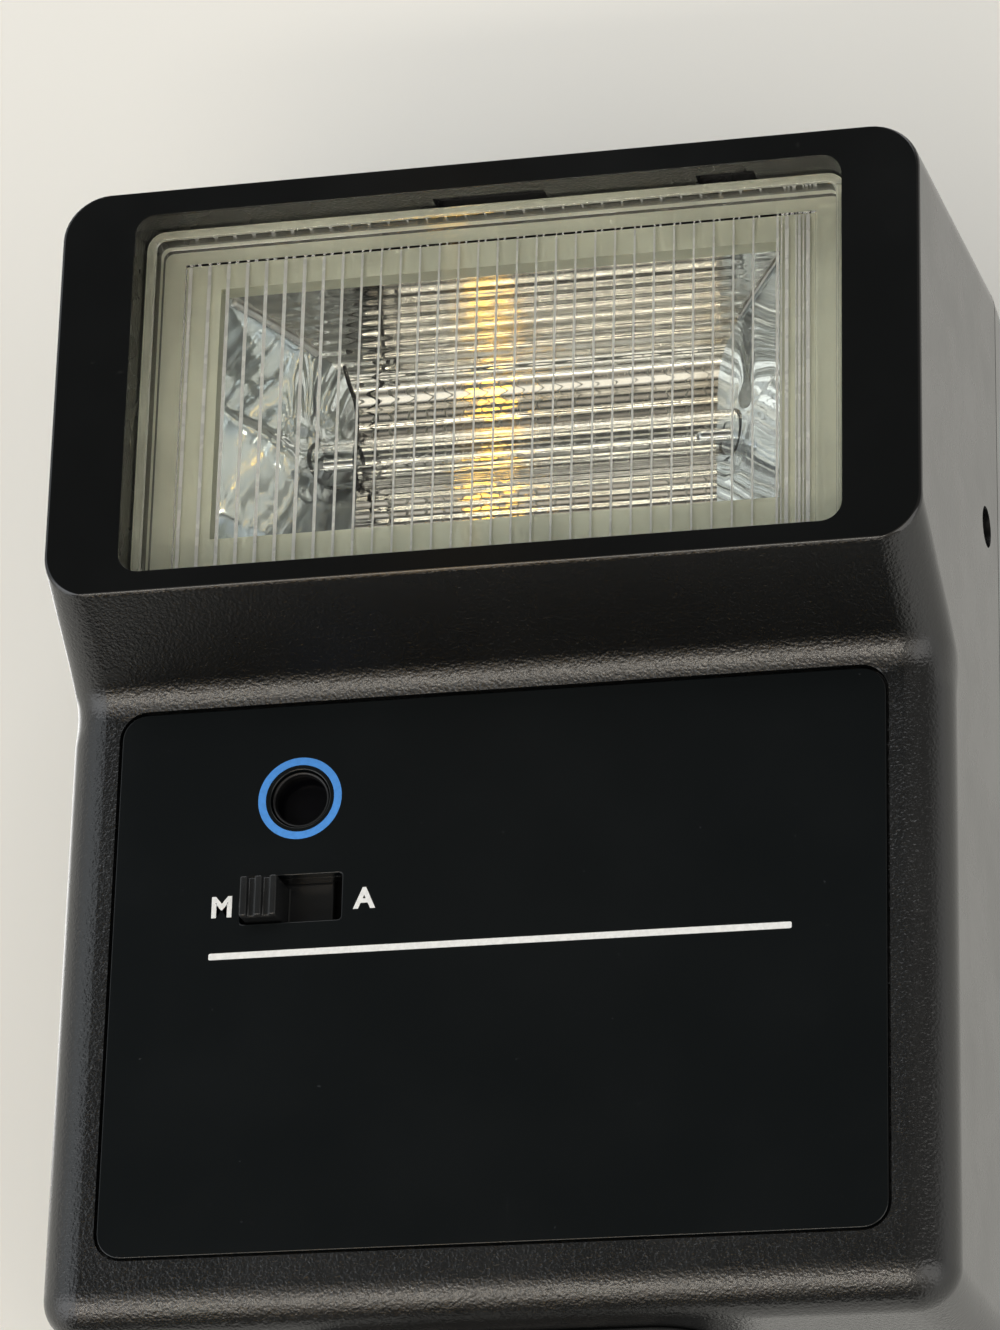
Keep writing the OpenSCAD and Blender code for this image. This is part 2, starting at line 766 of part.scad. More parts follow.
module reflector_frame() color("#96987f") difference() {
  plate_y(window_w - 2 * seat_gap, z_win - window_h / 2 + seat_gap, z_win + window_h / 2 - seat_gap,
    window_r - seat_gap, y_frame, y_ledge);
  block([-reflector_w / 2, y_frame - cut, z_win - reflector_h / 2],
    [reflector_w / 2, y_ledge + cut, z_win + reflector_h / 2]);
}

// Points of the trough's curve, from its lower lip to its upper lip, grown by a thickness
function trough(grow) = [for (i = [-trough_steps / 2:trough_steps / 2])
  let (u = 2 * i / trough_steps)
  [y_ledge + (reflector_d + grow) * (1 - u * u), z_win + u * (reflector_h / 2 + grow)]];

module reflector() color("#c9cbc8") difference() {
  union() {
    across(reflector_w + 2 * sheet_t) polygon(trough(sheet_t));
    plate_y(reflector_w + 2 * flange_w, z_win - reflector_h / 2 - flange_w,
      z_win + reflector_h / 2 + flange_w, window_r, y_ledge, y_ledge + sheet_t);
  }
  across(reflector_w) polygon(trough(0));
  block([-reflector_w / 2, y_ledge - cut, z_win - reflector_h / 2],
    [reflector_w / 2, y_ledge + sheet_t, z_win + reflector_h / 2]);
  bar_x(y_tube, z_win, tube_r + tube_room, -reflector_w, reflector_w);
}

module flash_tube() color("#e4ecec", 0.5)
  bar_x(y_tube, z_win, tube_r, -tube_half, tube_half);

module tube_caps() color("#8d8f90") for (s = [0, 1]) mirror([s, 0, 0])
  bar_x(y_tube, z_win, tube_r, tube_half, tube_half + cap_l);

module tube_sleeves() color("#d5d2c4") for (s = [0, 1]) mirror([s, 0, 0]) difference() {
  bar_x(y_tube, z_win, sleeve_r, tube_half - sleeve_l, tube_half);
  bar_x(y_tube, z_win, tube_r + sleeve_fit, tube_half - sleeve_l - cut, tube_half + cut);
}

module sensor_tube() color("#0f1011") difference() {
  union() {
    bar_y(-sensor_x, z_sensor, sensor_r + sensor_wall, y_low + panel_t, y_board - sensor_room);
    bar_y(-sensor_x, z_sensor, sensor_r + 2 * sensor_wall, y_in, y_in + sensor_flange);
  }
  bar_y(-sensor_x, z_sensor, sensor_r, y_low, y_board + cut);
}

module sensor_lens() color("#1c2024", 0.8) {
  y_front = y_low + panel_t + sensor_lens_sink;
  bar_y(-sensor_x, z_sensor, sensor_r - sensor_lens_fit, y_front, y_front + sensor_lens_t);
}

module light_sensor() color("#2a2a2c")
  bar_y(-sensor_x, z_sensor, sensor_r - sensor_cell_gap, y_board - sensor_cell_l, y_board);

module front_board() color("#8a6a3a") difference() {
  plate_y(board_w, z_panel_mid - front_board_h / 2, z_panel_mid + front_board_h / 2, board_corner,
    y_board, y_board + board_t);
  for (p = board_posts)
    bar_y(p[0] * board_post_x, z_panel_mid + p[1] * board_post_z, board_screw_r + screw_gap,
      y_board - cut, y_board + board_t + cut);
}

// Resistors, small capacitors and transistors on the front board
module board_components() color("#b08d57") {
  for (i = [0:3])
    bar_x(y_board - part_room, z_panel_mid - resistor_up - (i - 1) * resistor_step, resistor_r,
      part_x - resistor_l / 2, part_x + resistor_l / 2);
  for (i = [0:2])
    bar_y(can_x + can_step * i, z_panel_mid + can_up, can_r, y_board - can_h, y_board);
  for (i = [0:1])
    translate([-part_x + chip_step * i - chip_w / 2, y_board - chip_h, z_panel_mid + chip_up - chip_h / 2])
      cube([chip_w, chip_h, chip_h]);
}

module board_screws() color("#b9bbbd") for (p = board_posts)
  screw_y(p[0] * board_post_x, y_board + board_t, z_panel_mid + p[1] * board_post_z, board_screw_r,
    board_screw_head_r, board_screw_head_t, board_screw_l);

module mode_switch_base() color("#2b2c2e")
  block([-slot_x - carriage_w / 2 - mode_travel / 2, y_board - base_t, z_slot - carriage_h / 2],
    [-slot_x + carriage_w / 2 + mode_travel / 2, y_board, z_slot + carriage_h / 2]);

// Knob with ridges, on the carriage that runs behind the slot
module mode_knob() color("#131516") {
  ridge_w = knob_w / 5;
  y_face = y_low - knob_out;
  block([knob_x - carriage_w / 2, y_carriage, z_slot - carriage_h / 2],
    [knob_x + carriage_w / 2, y_carriage + carriage_t, z_slot + carriage_h / 2]);
  block([knob_x - knob_w / 2, y_face + ridge_out, z_slot - knob_h / 2],
    [knob_x + knob_w / 2, y_carriage + carriage_t / 2, z_slot + knob_h / 2]);
  for (i = [-1:1])
    block([knob_x + (2 * i - 0.5) * ridge_w, y_face, z_slot - knob_h / 2],
      [knob_x + (2 * i + 0.5) * ridge_w, y_face + 2 * ridge_out, z_slot + knob_h / 2]);
}

module rear_board() color("#8a6a3a") difference() {
  plate_y(board_w, z_rear_board, z_rear_board + rear_board_h, board_corner,
    y_rear_board, y_rear_board + board_t);
  for (sx = [-1, 1], sz = [-1, 1])
    bar_y(sx * board_post_x, z_control + sz * rear_post_z, board_screw_r + screw_gap,
      y_rear_board - cut, y_rear_in);
}

module rear_board_screws() color("#b9bbbd") for (sx = [-1, 1], sz = [-1, 1])
  translate([sx * board_post_x, y_rear_board, z_control + sz * rear_post_z]) rotate([0, 0, 180])
    screw_y(0, 0, 0, board_screw_r, board_screw_head_r, board_screw_head_t, board_screw_l);

// Three-legged core; the winding sits on the middle leg
module transformer_core() color("#5a5d60") difference() {
  translate([transformer_x, y_transformer, z_transformer])
    cube([transformer_w, core_d, transformer_h], center = true);
  for (s = [-1, 1])
    translate([transformer_x + s * (leg_w + core_room) / 2, y_transformer, z_transformer])
      cube([core_room, core_d + cut, transformer_h - 2 * leg_w], center = true);
}

module transformer_winding() color("#a5622a") difference() {
  translate([transformer_x, y_transformer, z_transformer])
    cube([transformer_w - 2 * leg_w - 2 * seat_gap, transformer_d,
      transformer_h - 2 * leg_w - 2 * seat_gap], center = true);
  translate([transformer_x, y_transformer, z_transformer])
    cube([leg_w + 2 * seat_gap, core_d + 2 * seat_gap, transformer_h], center = true);
}

module trigger_coil() color("#7c2f22") {
  y_coil = y_rear_board - coil_r - coil_flange_w;
  bar_x(y_coil, z_transformer, coil_r, coil_x - coil_l / 2, coil_x + coil_l / 2);
  for (s = [-1, 1])
    translate([coil_x + s * coil_l / 2, y_coil, z_transformer]) rotate([0, 90, 0])
      cylinder(r = coil_r + coil_flange_w, h = coil_flange_t, center = true);
}

module main_capacitor() color("#2d3c57")
  bar_x(y_capacitor, z_capacitor, capacitor_r,
    capacitor_x - capacitor_l / 2, capacitor_x + capacitor_l / 2);

module power_switch_base() color("#2b2c2e") {
  half_w = power_slot_w / 2 + carriage_lap_x;
  half_h = power_h / 2 + carriage_lap_z;
  y_back = y_rear_board + board_t;
  block([-control_x - half_w, y_back, z_control - half_h],
    [-control_x + half_w, y_back + power_base_t, z_control + half_h]);
}

// Knob with ridges, on the carriage that runs behind the rear wall
module power_knob() color("#131516") {
  half_w = power_w / 2 + carriage_lap_x;
  half_h = power_h / 2 + carriage_lap_z;
  y_run = y_rear_in - slide_gap - carriage_t;
  ridge_w = power_w / 7;
  block([power_x - half_w, y_run, z_control - half_h],
    [power_x + half_w, y_run + carriage_t, z_control + half_h]);
  block([power_x - power_w / 2, y_run + carriage_t / 2, z_control - power_h / 2],
    [power_x + power_w / 2, y_rear + control_out - ridge_out, z_control + power_h / 2]);
  for (i = [-1:1])
    block([power_x + (2 * i - 0.5) * ridge_w, y_rear, z_control - power_h / 2],
      [power_x + (2 * i + 0.5) * ridge_w, y_rear + control_out, z_control + power_h / 2]);
}

module ready_lamp() color("#e08a4a")
  bar_x(y_rear_board + board_t + lamp_r + seat_gap, z_control, lamp_r, -lamp_l / 2, lamp_l / 2);

module ready_window() color("#d8541e", 0.7) {
  bar_y(0, z_control, ready_r, y_rear_in - ready_flange_t / 2, y_rear + ready_out);
  bar_y(0, z_control, ready_r + ready_flange_w, y_rear_in - ready_flange_t, y_rear_in);
}

module test_button() color("#b8281e") {
  bar_y(control_x, z_control, button_r, y_rear_in - slide_gap, y_rear + control_out);
  bar_y(control_x, z_control, button_r + button_flange_w, y_rear_in - slide_gap - button_flange_t,
    y_rear_in - slide_gap);
}

module test_switch_base() color("#2b2c2e")
  translate([control_x - button_r, y_rear_board + board_t, z_control - button_r])
    cube([2 * button_r, button_base_t, 2 * button_r]);

module battery_tray() color("#202224") difference() {
  block([-tray_in / 2 - tray_t, y_tray, z_in], [tray_in / 2 + tray_t, y_rear_in - tray_room, z_tray_top]);
  block([-tray_in / 2, y_tray + tray_t, z_in + tray_t], [tray_in / 2, y_rear_in + cut, z_tray_top - tray_t]);
}

// The two cells lie head to tail; each has its spring at its flat end
module each_cell() {
  for (i = [0, 1])
    translate([0, y_cell, z_cell + i * cell_step]) mirror([i, 0, 0]) children();
}

module battery_cells() color("#3f6a4c") each_cell() {
  x0 = -tray_in / 2 + contact_t + spring_l + end_gap;
  bar_x(0, 0, cell_r, x0, x0 + cell_l - cell_button_l);
  bar_x(0, 0, cell_button_r, x0 + cell_l - cell_button_l, x0 + cell_l);
}

// Points of a conical coil spring that stands on the contact plate
function coil_reach(t) = spring_base_r + (spring_top_r - spring_base_r) * t;
function coil(t) = let (turn = 360 * spring_turns * t)
  [-tray_in / 2 + contact_t + wire_r + spring_room + t * (spring_l - 2 * wire_r - 2 * spring_room),
   coil_reach(t) * cos(turn), coil_reach(t) * sin(turn)];
coil_points = [for (i = [0:spring_turns * ring_steps]) coil(i / (spring_turns * ring_steps))];
echo(least_gap_in_spring = min([for (i = [0:len(coil_points) - 1 - ring_steps])
  norm(coil_points[i + ring_steps] - coil_points[i]) - 2 * wire_r]));

module battery_springs() color("#c4c6c8") each_cell() swept(coil_points, wire_r);

module battery_plates() color("#c9c3a6") for (s = [0, 1]) mirror([s, 0, 0])
  block([-tray_in / 2, y_cell - cell_button_r - plate_lap, z_in + tray_t + plate_inset],
    [-tray_in / 2 + contact_t, y_cell + cell_button_r + plate_lap, z_tray_top - tray_t - plate_inset]);

module sync_socket() color("#6f7173") difference() {
  bar_x(y_socket, z_socket, socket_r + socket_wall, x_socket - socket_l - socket_end, x_socket - seat_gap);
  bar_x(y_socket, z_socket, socket_r, x_socket - socket_l, x_socket + cut);
}

// Insulated leads from the tube's caps down to the rear board
module tube_leads() color("#8c1f1a") for (s = [0, 1]) mirror([s, 0, 0]) swept(lead_points, lead_r);

module foot_block() color("#141516") difference() {
  translate([0, 0, z_block]) linear_extrude(block_h) rounded(block_w, block_l, block_r);
  translate([0, 0, z_block - cut]) cylinder(r = pin_r + pin_gap, h = block_h);
  translate([0, 0, z_collar]) cylinder(r = pin_well_r, h = block_h);
  for (s = [-1, 1], y = foot_screw_y) translate([s * foot_screw_x, y, z_block - cut]) {
    cylinder(r = screw_r + screw_gap, h = block_h + 2 * cut);
    cylinder(r = screw_head_r + seat_gap, h = foot_sink + cut);
  }
  for (s = [-1, 1])
    translate([0, s * rivet_y, z_block - cut]) cylinder(r = rivet_r + screw_gap, h = rivet_l - z_block + cut);
}

module foot_neck() color("#1b1c1d") difference() {
  translate([0, 0, plate_t]) linear_extrude(rail_gap) rounded(neck_w, plate_l, neck_r);
  translate([0, 0, plate_t - cut]) cylinder(r = pin_r + pin_gap, h = rail_gap + 2 * cut);
  for (s = [-1, 1])
    translate([0, s * rivet_y, plate_t - cut]) cylinder(r = rivet_r + screw_gap, h = rail_gap + 2 * cut);
}

module foot_plate() color("#17181a") difference() {
  linear_extrude(plate_t) rounded(plate_w, plate_l, plate_r);
  translate([0, 0, -cut]) cylinder(r = pin_r + pin_gap, h = plate_t + 2 * cut);
  for (s = [-1, 1])
    translate([0, s * rivet_y, -cut]) cylinder(r = rivet_r + screw_gap, h = plate_t + 2 * cut);
}

module foot_rivets() color("#9a9c9e") for (s = [-1, 1])
  translate([0, s * rivet_y, rivet_sink]) cylinder(r = rivet_r, h = rivet_l - rivet_sink);

module foot_screws() color("#b9bbbd") for (s = [-1, 1], y = foot_screw_y)
  translate([s * foot_screw_x, y, z_block + foot_sink]) rotate([-90, 0, 0])
    screw_y(0, 0, 0, screw_r, screw_head_r, screw_head_t, foot_screw_l);

module ground_contact() color("#b7a569")
  block([neck_w / 2 + ground_gap, ground_inset - plate_l / 2, plate_t],
    [plate_w / 2 - ground_edge, plate_l / 2 - ground_inset, plate_t + ground_t]);

module contact_pin() color("#d3c38a") {
  translate([0, 0, -pin_out]) cylinder(r = pin_r, h = z_collar + pin_out);
  translate([0, 0, z_collar]) cylinder(r = pin_collar_r, h = pin_collar_t);
  translate([0, 0, z_collar]) cylinder(r = pin_stem_r, h = pin_collar_t + pin_stem_l);
}

module pin_spring() color("#c4c6c8") difference() {
  spring_z = z_collar + pin_collar_t;
  translate([0, 0, spring_z]) cylinder(r = pin_collar_r, h = z_floor - spring_z);
  translate([0, 0, spring_z - cut]) cylinder(r = pin_stem_r + spring_fit, h = block_h + 2 * cut);
}

module case_screws() color("#b9bbbd") for (s = [-1, 1], z = boss_z)
  screw_y(s * boss_x, y_rear - screw_sink, z, screw_r, screw_head_r, screw_head_t, screw_l);

front_shell();
rear_shell();
front_panel();
rear_panel();
battery_door();
flash_window();
reflector_frame();
reflector();
flash_tube();
tube_caps();
tube_sleeves();
sensor_tube();
sensor_lens();
light_sensor();
front_board();
board_components();
board_screws();
mode_switch_base();
mode_knob();
rear_board();
rear_board_screws();
transformer_core();
transformer_winding();
trigger_coil();
main_capacitor();
power_switch_base();
power_knob();
ready_lamp();
ready_window();
test_button();
test_switch_base();
battery_tray();
battery_cells();
battery_springs();
battery_plates();
sync_socket();
tube_leads();
foot_block();
foot_neck();
foot_plate();
foot_rivets();
foot_screws();
ground_contact();
contact_pin();
pin_spring();
case_screws();
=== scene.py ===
import math

import bmesh
import bpy
import numpy as np
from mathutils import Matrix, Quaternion, Vector


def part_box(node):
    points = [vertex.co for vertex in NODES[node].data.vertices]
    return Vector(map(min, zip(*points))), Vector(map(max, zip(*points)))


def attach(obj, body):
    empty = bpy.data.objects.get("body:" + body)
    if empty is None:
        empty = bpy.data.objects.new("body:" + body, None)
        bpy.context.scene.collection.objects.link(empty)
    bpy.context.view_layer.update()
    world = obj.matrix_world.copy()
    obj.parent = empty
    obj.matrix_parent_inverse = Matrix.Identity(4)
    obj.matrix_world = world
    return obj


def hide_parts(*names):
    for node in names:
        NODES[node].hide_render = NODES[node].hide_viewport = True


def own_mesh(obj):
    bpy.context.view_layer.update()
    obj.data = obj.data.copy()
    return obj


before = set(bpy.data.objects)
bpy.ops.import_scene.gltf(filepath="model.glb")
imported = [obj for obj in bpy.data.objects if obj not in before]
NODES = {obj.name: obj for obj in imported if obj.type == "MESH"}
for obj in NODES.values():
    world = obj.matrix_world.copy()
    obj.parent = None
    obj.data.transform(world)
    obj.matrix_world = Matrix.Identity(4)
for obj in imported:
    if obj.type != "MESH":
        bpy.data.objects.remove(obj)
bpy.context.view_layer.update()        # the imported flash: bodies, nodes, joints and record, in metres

# Sizes and places are in millimetres; a mesh is turned into metres when it is made.
MM = 0.001
BODY = "body"


def corners(node):
    """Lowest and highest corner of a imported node, in millimetres."""
    return tuple(np.array(corner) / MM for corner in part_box(node))


def centre_of(node):
    """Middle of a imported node's box, in millimetres."""
    low, high = corners(node)
    return (low + high) / 2


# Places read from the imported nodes
SHELL_LOW, SHELL_HIGH = corners("front_shell")
REAR_HIGH = corners("rear_shell")[1]
PANEL_LOW, PANEL_HIGH = corners("front_panel")
LENS_LOW, LENS_HIGH = corners("flash_window")
SURROUND_HIGH = corners("reflector_frame")[1]
BOWL_LOW, BOWL_HIGH = corners("reflector")
TUBE_LOW, TUBE_HIGH = corners("flash_tube")
BUTTON_LOW, BUTTON_HIGH = corners("test_button")
READY_LOW, READY_HIGH = corners("ready_window")
LABEL_LOW, LABEL_HIGH = corners("rear_panel")
DOOR_LOW, DOOR_HIGH = corners("battery_door")
SCREWS_LOW, SCREWS_HIGH = corners("case_screws")
SOCKET_END = corners("sync_socket")[1][0]
TUBE = centre_of("flash_tube")
BUTTON = centre_of("test_button")
READY = centre_of("ready_window")
POWER = centre_of("power_knob")
SOCKET = centre_of("sync_socket")

# Sizes of the mouldings that a box doesn't give
HEAD_H = 33.0
FLARE = 1.4
CORNER_R = 3.5
EDGE_R = 3.2
REAR_R = 3.0
COVE_DROP = 5.2
COVE_R = 3.2
WALL = 2.0
SEAT_GAP = 0.1
SLIDE_GAP = 0.25
WINDOW_R = 1.6
PANEL_R = 1.9
LEDGE_T = 1.0
LENS_RIM_W = 0.8
LENS_RIM_H = 1.3
SCREW_HEAD_R = 2.0
SLOT_W = 7.7
SLOT_H = 3.6
KNOB_W = 2.8
DOOR_W = 58.0

# Levels worked out from them
Y_HEAD = SHELL_LOW[1]
Y_SEAM = SHELL_HIGH[1]
Y_REAR = REAR_HIGH[1]
Y_REAR_IN = Y_REAR - WALL
Y_LOW = PANEL_LOW[1]
Y_IN = Y_LOW + WALL
Y_LEDGE = SURROUND_HIGH[1]
Z_FLOOR = SHELL_LOW[2]
SEAM_TOP = SHELL_HIGH[2]
SEAM_HALF = SHELL_HIGH[0]
Z_TOP = SEAM_TOP - FLARE
Z_HEAD = Z_TOP - HEAD_H
HEAD_HALF = SEAM_HALF - FLARE
FRONT_D = Y_SEAM - Y_HEAD
SET_BACK = Y_LOW - Y_HEAD
Z_WIN = (LENS_LOW[2] + LENS_HIGH[2]) / 2
SENSOR_X, SENSOR_Z = centre_of("sensor_lens")[[0, 2]]
MODE_X, MODE_Z = centre_of("mode_knob")[[0, 2]]
SLOT_X = MODE_X - KNOB_W / 2 - SLIDE_GAP + SLOT_W / 2
DOOR_TOP = DOOR_HIGH[2] + SLIDE_GAP
TUBE_R = (TUBE_HIGH[2] - TUBE_LOW[2]) / 2
# How far a cutter runs on past the face that it opens
PAST = 1.0
TINY = 1e-6


# Making meshes


def new_object(name, points, faces):
    """Object at the origin from points in millimetres and faces as rows of point numbers."""
    data = bpy.data.meshes.new(name)
    data.from_pydata((np.asarray(points, float) * MM).tolist(), [], [list(map(int, f)) for f in faces])
    obj = bpy.data.objects.new(name, data)
    bpy.context.scene.collection.objects.link(obj)
    return obj


def grid_faces(rows, cols, closed=False):
    """Quads between neighbours of a row-by-row grid; closed joins its last column to its first."""
    r = np.arange(rows - 1)[:, None]
    c = np.arange(cols if closed else cols - 1)[None, :]
    n = (c + 1) % cols
    return np.stack([r * cols + c, r * cols + n, (r + 1) * cols + n, (r + 1) * cols + c], -1).reshape(-1, 4)


def weld(obj, gap=0.002, flat=0.0):
    """Joins points closer than gap, turns faces outwards and, with flat, merges faces within that angle."""
    mesh = bmesh.new()
    mesh.from_mesh(obj.data)
    bmesh.ops.remove_doubles(mesh, verts=mesh.verts, dist=gap * MM)
    bmesh.ops.dissolve_degenerate(mesh, edges=mesh.edges, dist=gap * MM)
    bmesh.ops.recalc_face_normals(mesh, faces=mesh.faces)
    if flat:
        bmesh.ops.dissolve_limit(mesh, angle_limit=math.radians(flat), verts=mesh.verts, edges=mesh.edges)
    mesh.to_mesh(obj.data)
    mesh.free()
    return obj


def loft(name, rings):
    """Closed solid: rings of points one after the other, with the first and the last ring as flat ends."""
    rings = np.asarray(rings, float)
    count, around = rings.shape[:2]
    ends = [np.arange(around), np.arange((count - 1) * around, count * around)]
    faces = list(grid_faces(count, around, True)) + ends
    return weld(new_object(name, rings.reshape(-1, 3), faces))


def rounded_outline(low, high, r, steps=9):
    """Loop of (x, z) points round a rectangle: a quarter circle of radius r about each corner's centre."""
    low = np.array(low, float)
    high = np.array(high, float)
    quarters = []
    for quarter, ends in enumerate(((1, 1), (0, 1), (0, 0), (1, 0))):
        centre = np.where(ends, high - r, low + r)
        angle = np.linspace(0, np.pi / 2, steps) + quarter * np.pi / 2
        quarters.append(centre + r * np.stack([np.cos(angle), np.sin(angle)], -1))
    return np.concatenate(quarters)


def face_outline(low, high, r, grow=0.0):
    """Rounded outline of a box as seen from the front, grown by a clearance."""
    return rounded_outline(low[[0, 2]] - grow, high[[0, 2]] + grow, r)


def circle(x, z, r, steps=64):
    """Loop of (x, z) points at distance r from a centre."""
    angle = np.linspace(0, 2 * np.pi, steps, endpoint=False)
    return np.stack([x + r * np.cos(angle), z + r * np.sin(angle)], -1)


def at_depth(outline, y):
    """The same loop of (x, z) points, set at depth y."""
    return np.stack([outline[:, 0], np.full(len(outline), y), outline[:, 1]], -1)


def prism(name, outline, y0, y1):
    """Solid with an (x, z) outline between two depths."""
    return loft(name, [at_depth(outline, y0), at_depth(outline, y1)])


def across(name, outline, x0, x1):
    """Solid with a (y, z) outline between two places across the body."""
    rings = [np.stack([np.full(len(outline), x), outline[:, 0], outline[:, 1]], -1) for x in (x0, x1)]
    return loft(name, rings)


def box(name, low, high):
    """Plain block between two corners."""
    outline = np.array([[low[0], low[2]], [high[0], low[2]], [high[0], high[2]], [low[0], high[2]]], float)
    return prism(name, outline, low[1], high[1])


def turn(steps, first=0.0, last=np.pi / 2):
    """Evenly spaced angles, over a quarter turn unless first and last are given."""
    return np.linspace(first, last, steps)


def revolve(name, centre, profile, axis=1, closed=False, steps=72):
    """Surface of revolution: a profile of (radius, place along an axis) turned about a line at centre."""
    profile = np.asarray(profile, float)
    if closed:
        profile = np.vstack([profile, profile[:1]])
    angle = np.linspace(0, 2 * np.pi, steps, endpoint=False)
    first, second = [i for i in range(3) if i != axis]
    points = np.zeros((len(profile), steps, 3))
    points[..., axis] = profile[:, 1:]
    points[..., first] = centre[first] + profile[:, :1] * np.cos(angle)
    points[..., second] = centre[second] + profile[:, :1] * np.sin(angle)
    faces = list(grid_faces(len(profile), steps, True))
    if not closed:
        faces += [np.arange(steps), np.arange((len(profile) - 1) * steps, len(profile) * steps)]
    return weld(new_object(name, points.reshape(-1, 3), faces))


# A direction that no wire here runs along
OFF_AXIS = (0.31, 0.87, 0.38)


def swept_wire(name, path, r, sides=10):
    """Round wire: a circle of radius r carried along a path, square to it."""
    path = np.asarray(path, float)
    ahead = np.gradient(path, axis=0)
    ahead /= np.linalg.norm(ahead, axis=1, keepdims=True)
    across_it = np.cross(ahead, OFF_AXIS)
    across_it /= np.linalg.norm(across_it, axis=1, keepdims=True)
    other = np.cross(ahead, across_it)
    angle = np.linspace(0, 2 * np.pi, sides, endpoint=False)[None, :, None]
    rings = path[:, None] + r * (np.cos(angle) * across_it[:, None] + np.sin(angle) * other[:, None])
    return loft(name, rings)


def smooth_path(points, steps=60):
    """Points along a smooth curve through a few given ones: Catmull-Rom pieces at even steps."""
    p = np.asarray(points, float)
    p = np.vstack([2 * p[0] - p[1], p, 2 * p[-1] - p[-2]])
    place = np.linspace(0, len(p) - 3 - TINY, steps)
    k = place.astype(int)
    t = (place - k)[:, None]
    a, b, c, d = (p[k + i] for i in range(4))
    return 0.5 * (2 * b + (c - a) * t + (2 * a - 5 * b + 4 * c - d) * t**2 + (3 * b - a - 3 * c + d) * t**3)


def settle(obj):
    """Turns an object's modifiers into its mesh."""
    graph = bpy.context.evaluated_depsgraph_get()
    made = bpy.data.meshes.new_from_object(obj.evaluated_get(graph))
    old = obj.data
    obj.modifiers.clear()
    obj.data = made
    bpy.data.meshes.remove(old)


def carve(obj, *cutters, how="DIFFERENCE"):
    """Cuts closed cutters out of an object, or joins or crosses them with it, and deletes the cutters."""
    for cutter in cutters:
        cut = obj.modifiers.new("cut", "BOOLEAN")
        cut.object = cutter
        cut.operation = how
        cut.solver = "EXACT"
    settle(obj)
    for cutter in cutters:
        bpy.data.objects.remove(cutter)


def shade_smooth(obj, crease=None):
    """Shades every face smooth, apart from edges that turn by more than crease degrees."""
    data = obj.data
    data.polygons.foreach_set("use_smooth", np.ones(len(data.polygons), bool))
    if crease:
        data.set_sharp_from_angle(angle=math.radians(crease))
    return obj


def soften(obj, width, segments=2, angle=40):
    """Rounds edges sharper than angle by width and shades the rest smooth, flat faces first."""
    shade_smooth(obj)
    bevel = obj.modifiers.new("edges", "BEVEL")
    bevel.width = width * MM
    bevel.segments = segments
    bevel.limit_method = "ANGLE"
    bevel.angle_limit = math.radians(angle)
    bevel.use_clamp_overlap = True
    shading = obj.modifiers.new("shading", "WEIGHTED_NORMAL")
    shading.weight = 80
    shading.keep_sharp = True
    return obj


def cad_copy(node, name):
    """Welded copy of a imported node's mesh, with its flat faces merged."""
    obj = bpy.data.objects.new(name, NODES[node].data.copy())
    bpy.context.scene.collection.objects.link(obj)
    return weld(obj, flat=0.5)


def dress(obj, material, slot, *nodes, body=BODY):
    """Gives a piece its material, the body it rides on and the nodes it stands for; slot is not used."""
    obj.data.materials.clear()
    obj.data.materials.append(material)
    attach(obj, body)
    if nodes:
        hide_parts(*nodes)


# Materials


class Nodes:
    """Short calls that add nodes to a node tree."""

    def __init__(self, tree):
        self.tree = tree

    def add(self, kind, **settings):
        """New node of a kind, with its settings by name."""
        node = self.tree.nodes.new(kind)
        for key, value in settings.items():
            setattr(node, key, value)
        return node

    def feed(self, node, **values):
        """Sets a node's inputs by name or number, from a value or from another node's output."""
        for key, value in values.items():
            socket = node.inputs[int(key[1:])] if key[1:].isdigit() else node.inputs[key.replace("_", " ")]
            if isinstance(value, bpy.types.NodeSocket):
                self.tree.links.new(value, socket)
            else:
                socket.default_value = value
        return node

    def span(self, value, low, high, to_low=0.0, to_high=1.0):
        """Carries low..high to to_low..to_high, with smooth ends."""
        node = self.add("ShaderNodeMapRange", interpolation_type="SMOOTHSTEP")
        self.feed(node, Value=value, From_Min=low, From_Max=high, To_Min=to_low, To_Max=to_high)
        return node.outputs["Result"]

    def math(self, how, a, b=0.0):
        """Sum, product or other operation on two numbers."""
        return self.feed(self.add("ShaderNodeMath", operation=how), _0=a, _1=b).outputs[0]

    def mix(self, amount, one, two):
        """Colour that goes from one to two with amount."""
        node = self.add("ShaderNodeMix", data_type="RGBA")
        colours = [(*c, 1) if isinstance(c, tuple) else c for c in (one, two)]
        return self.feed(node, _0=amount, _6=colours[0], _7=colours[1]).outputs[2]


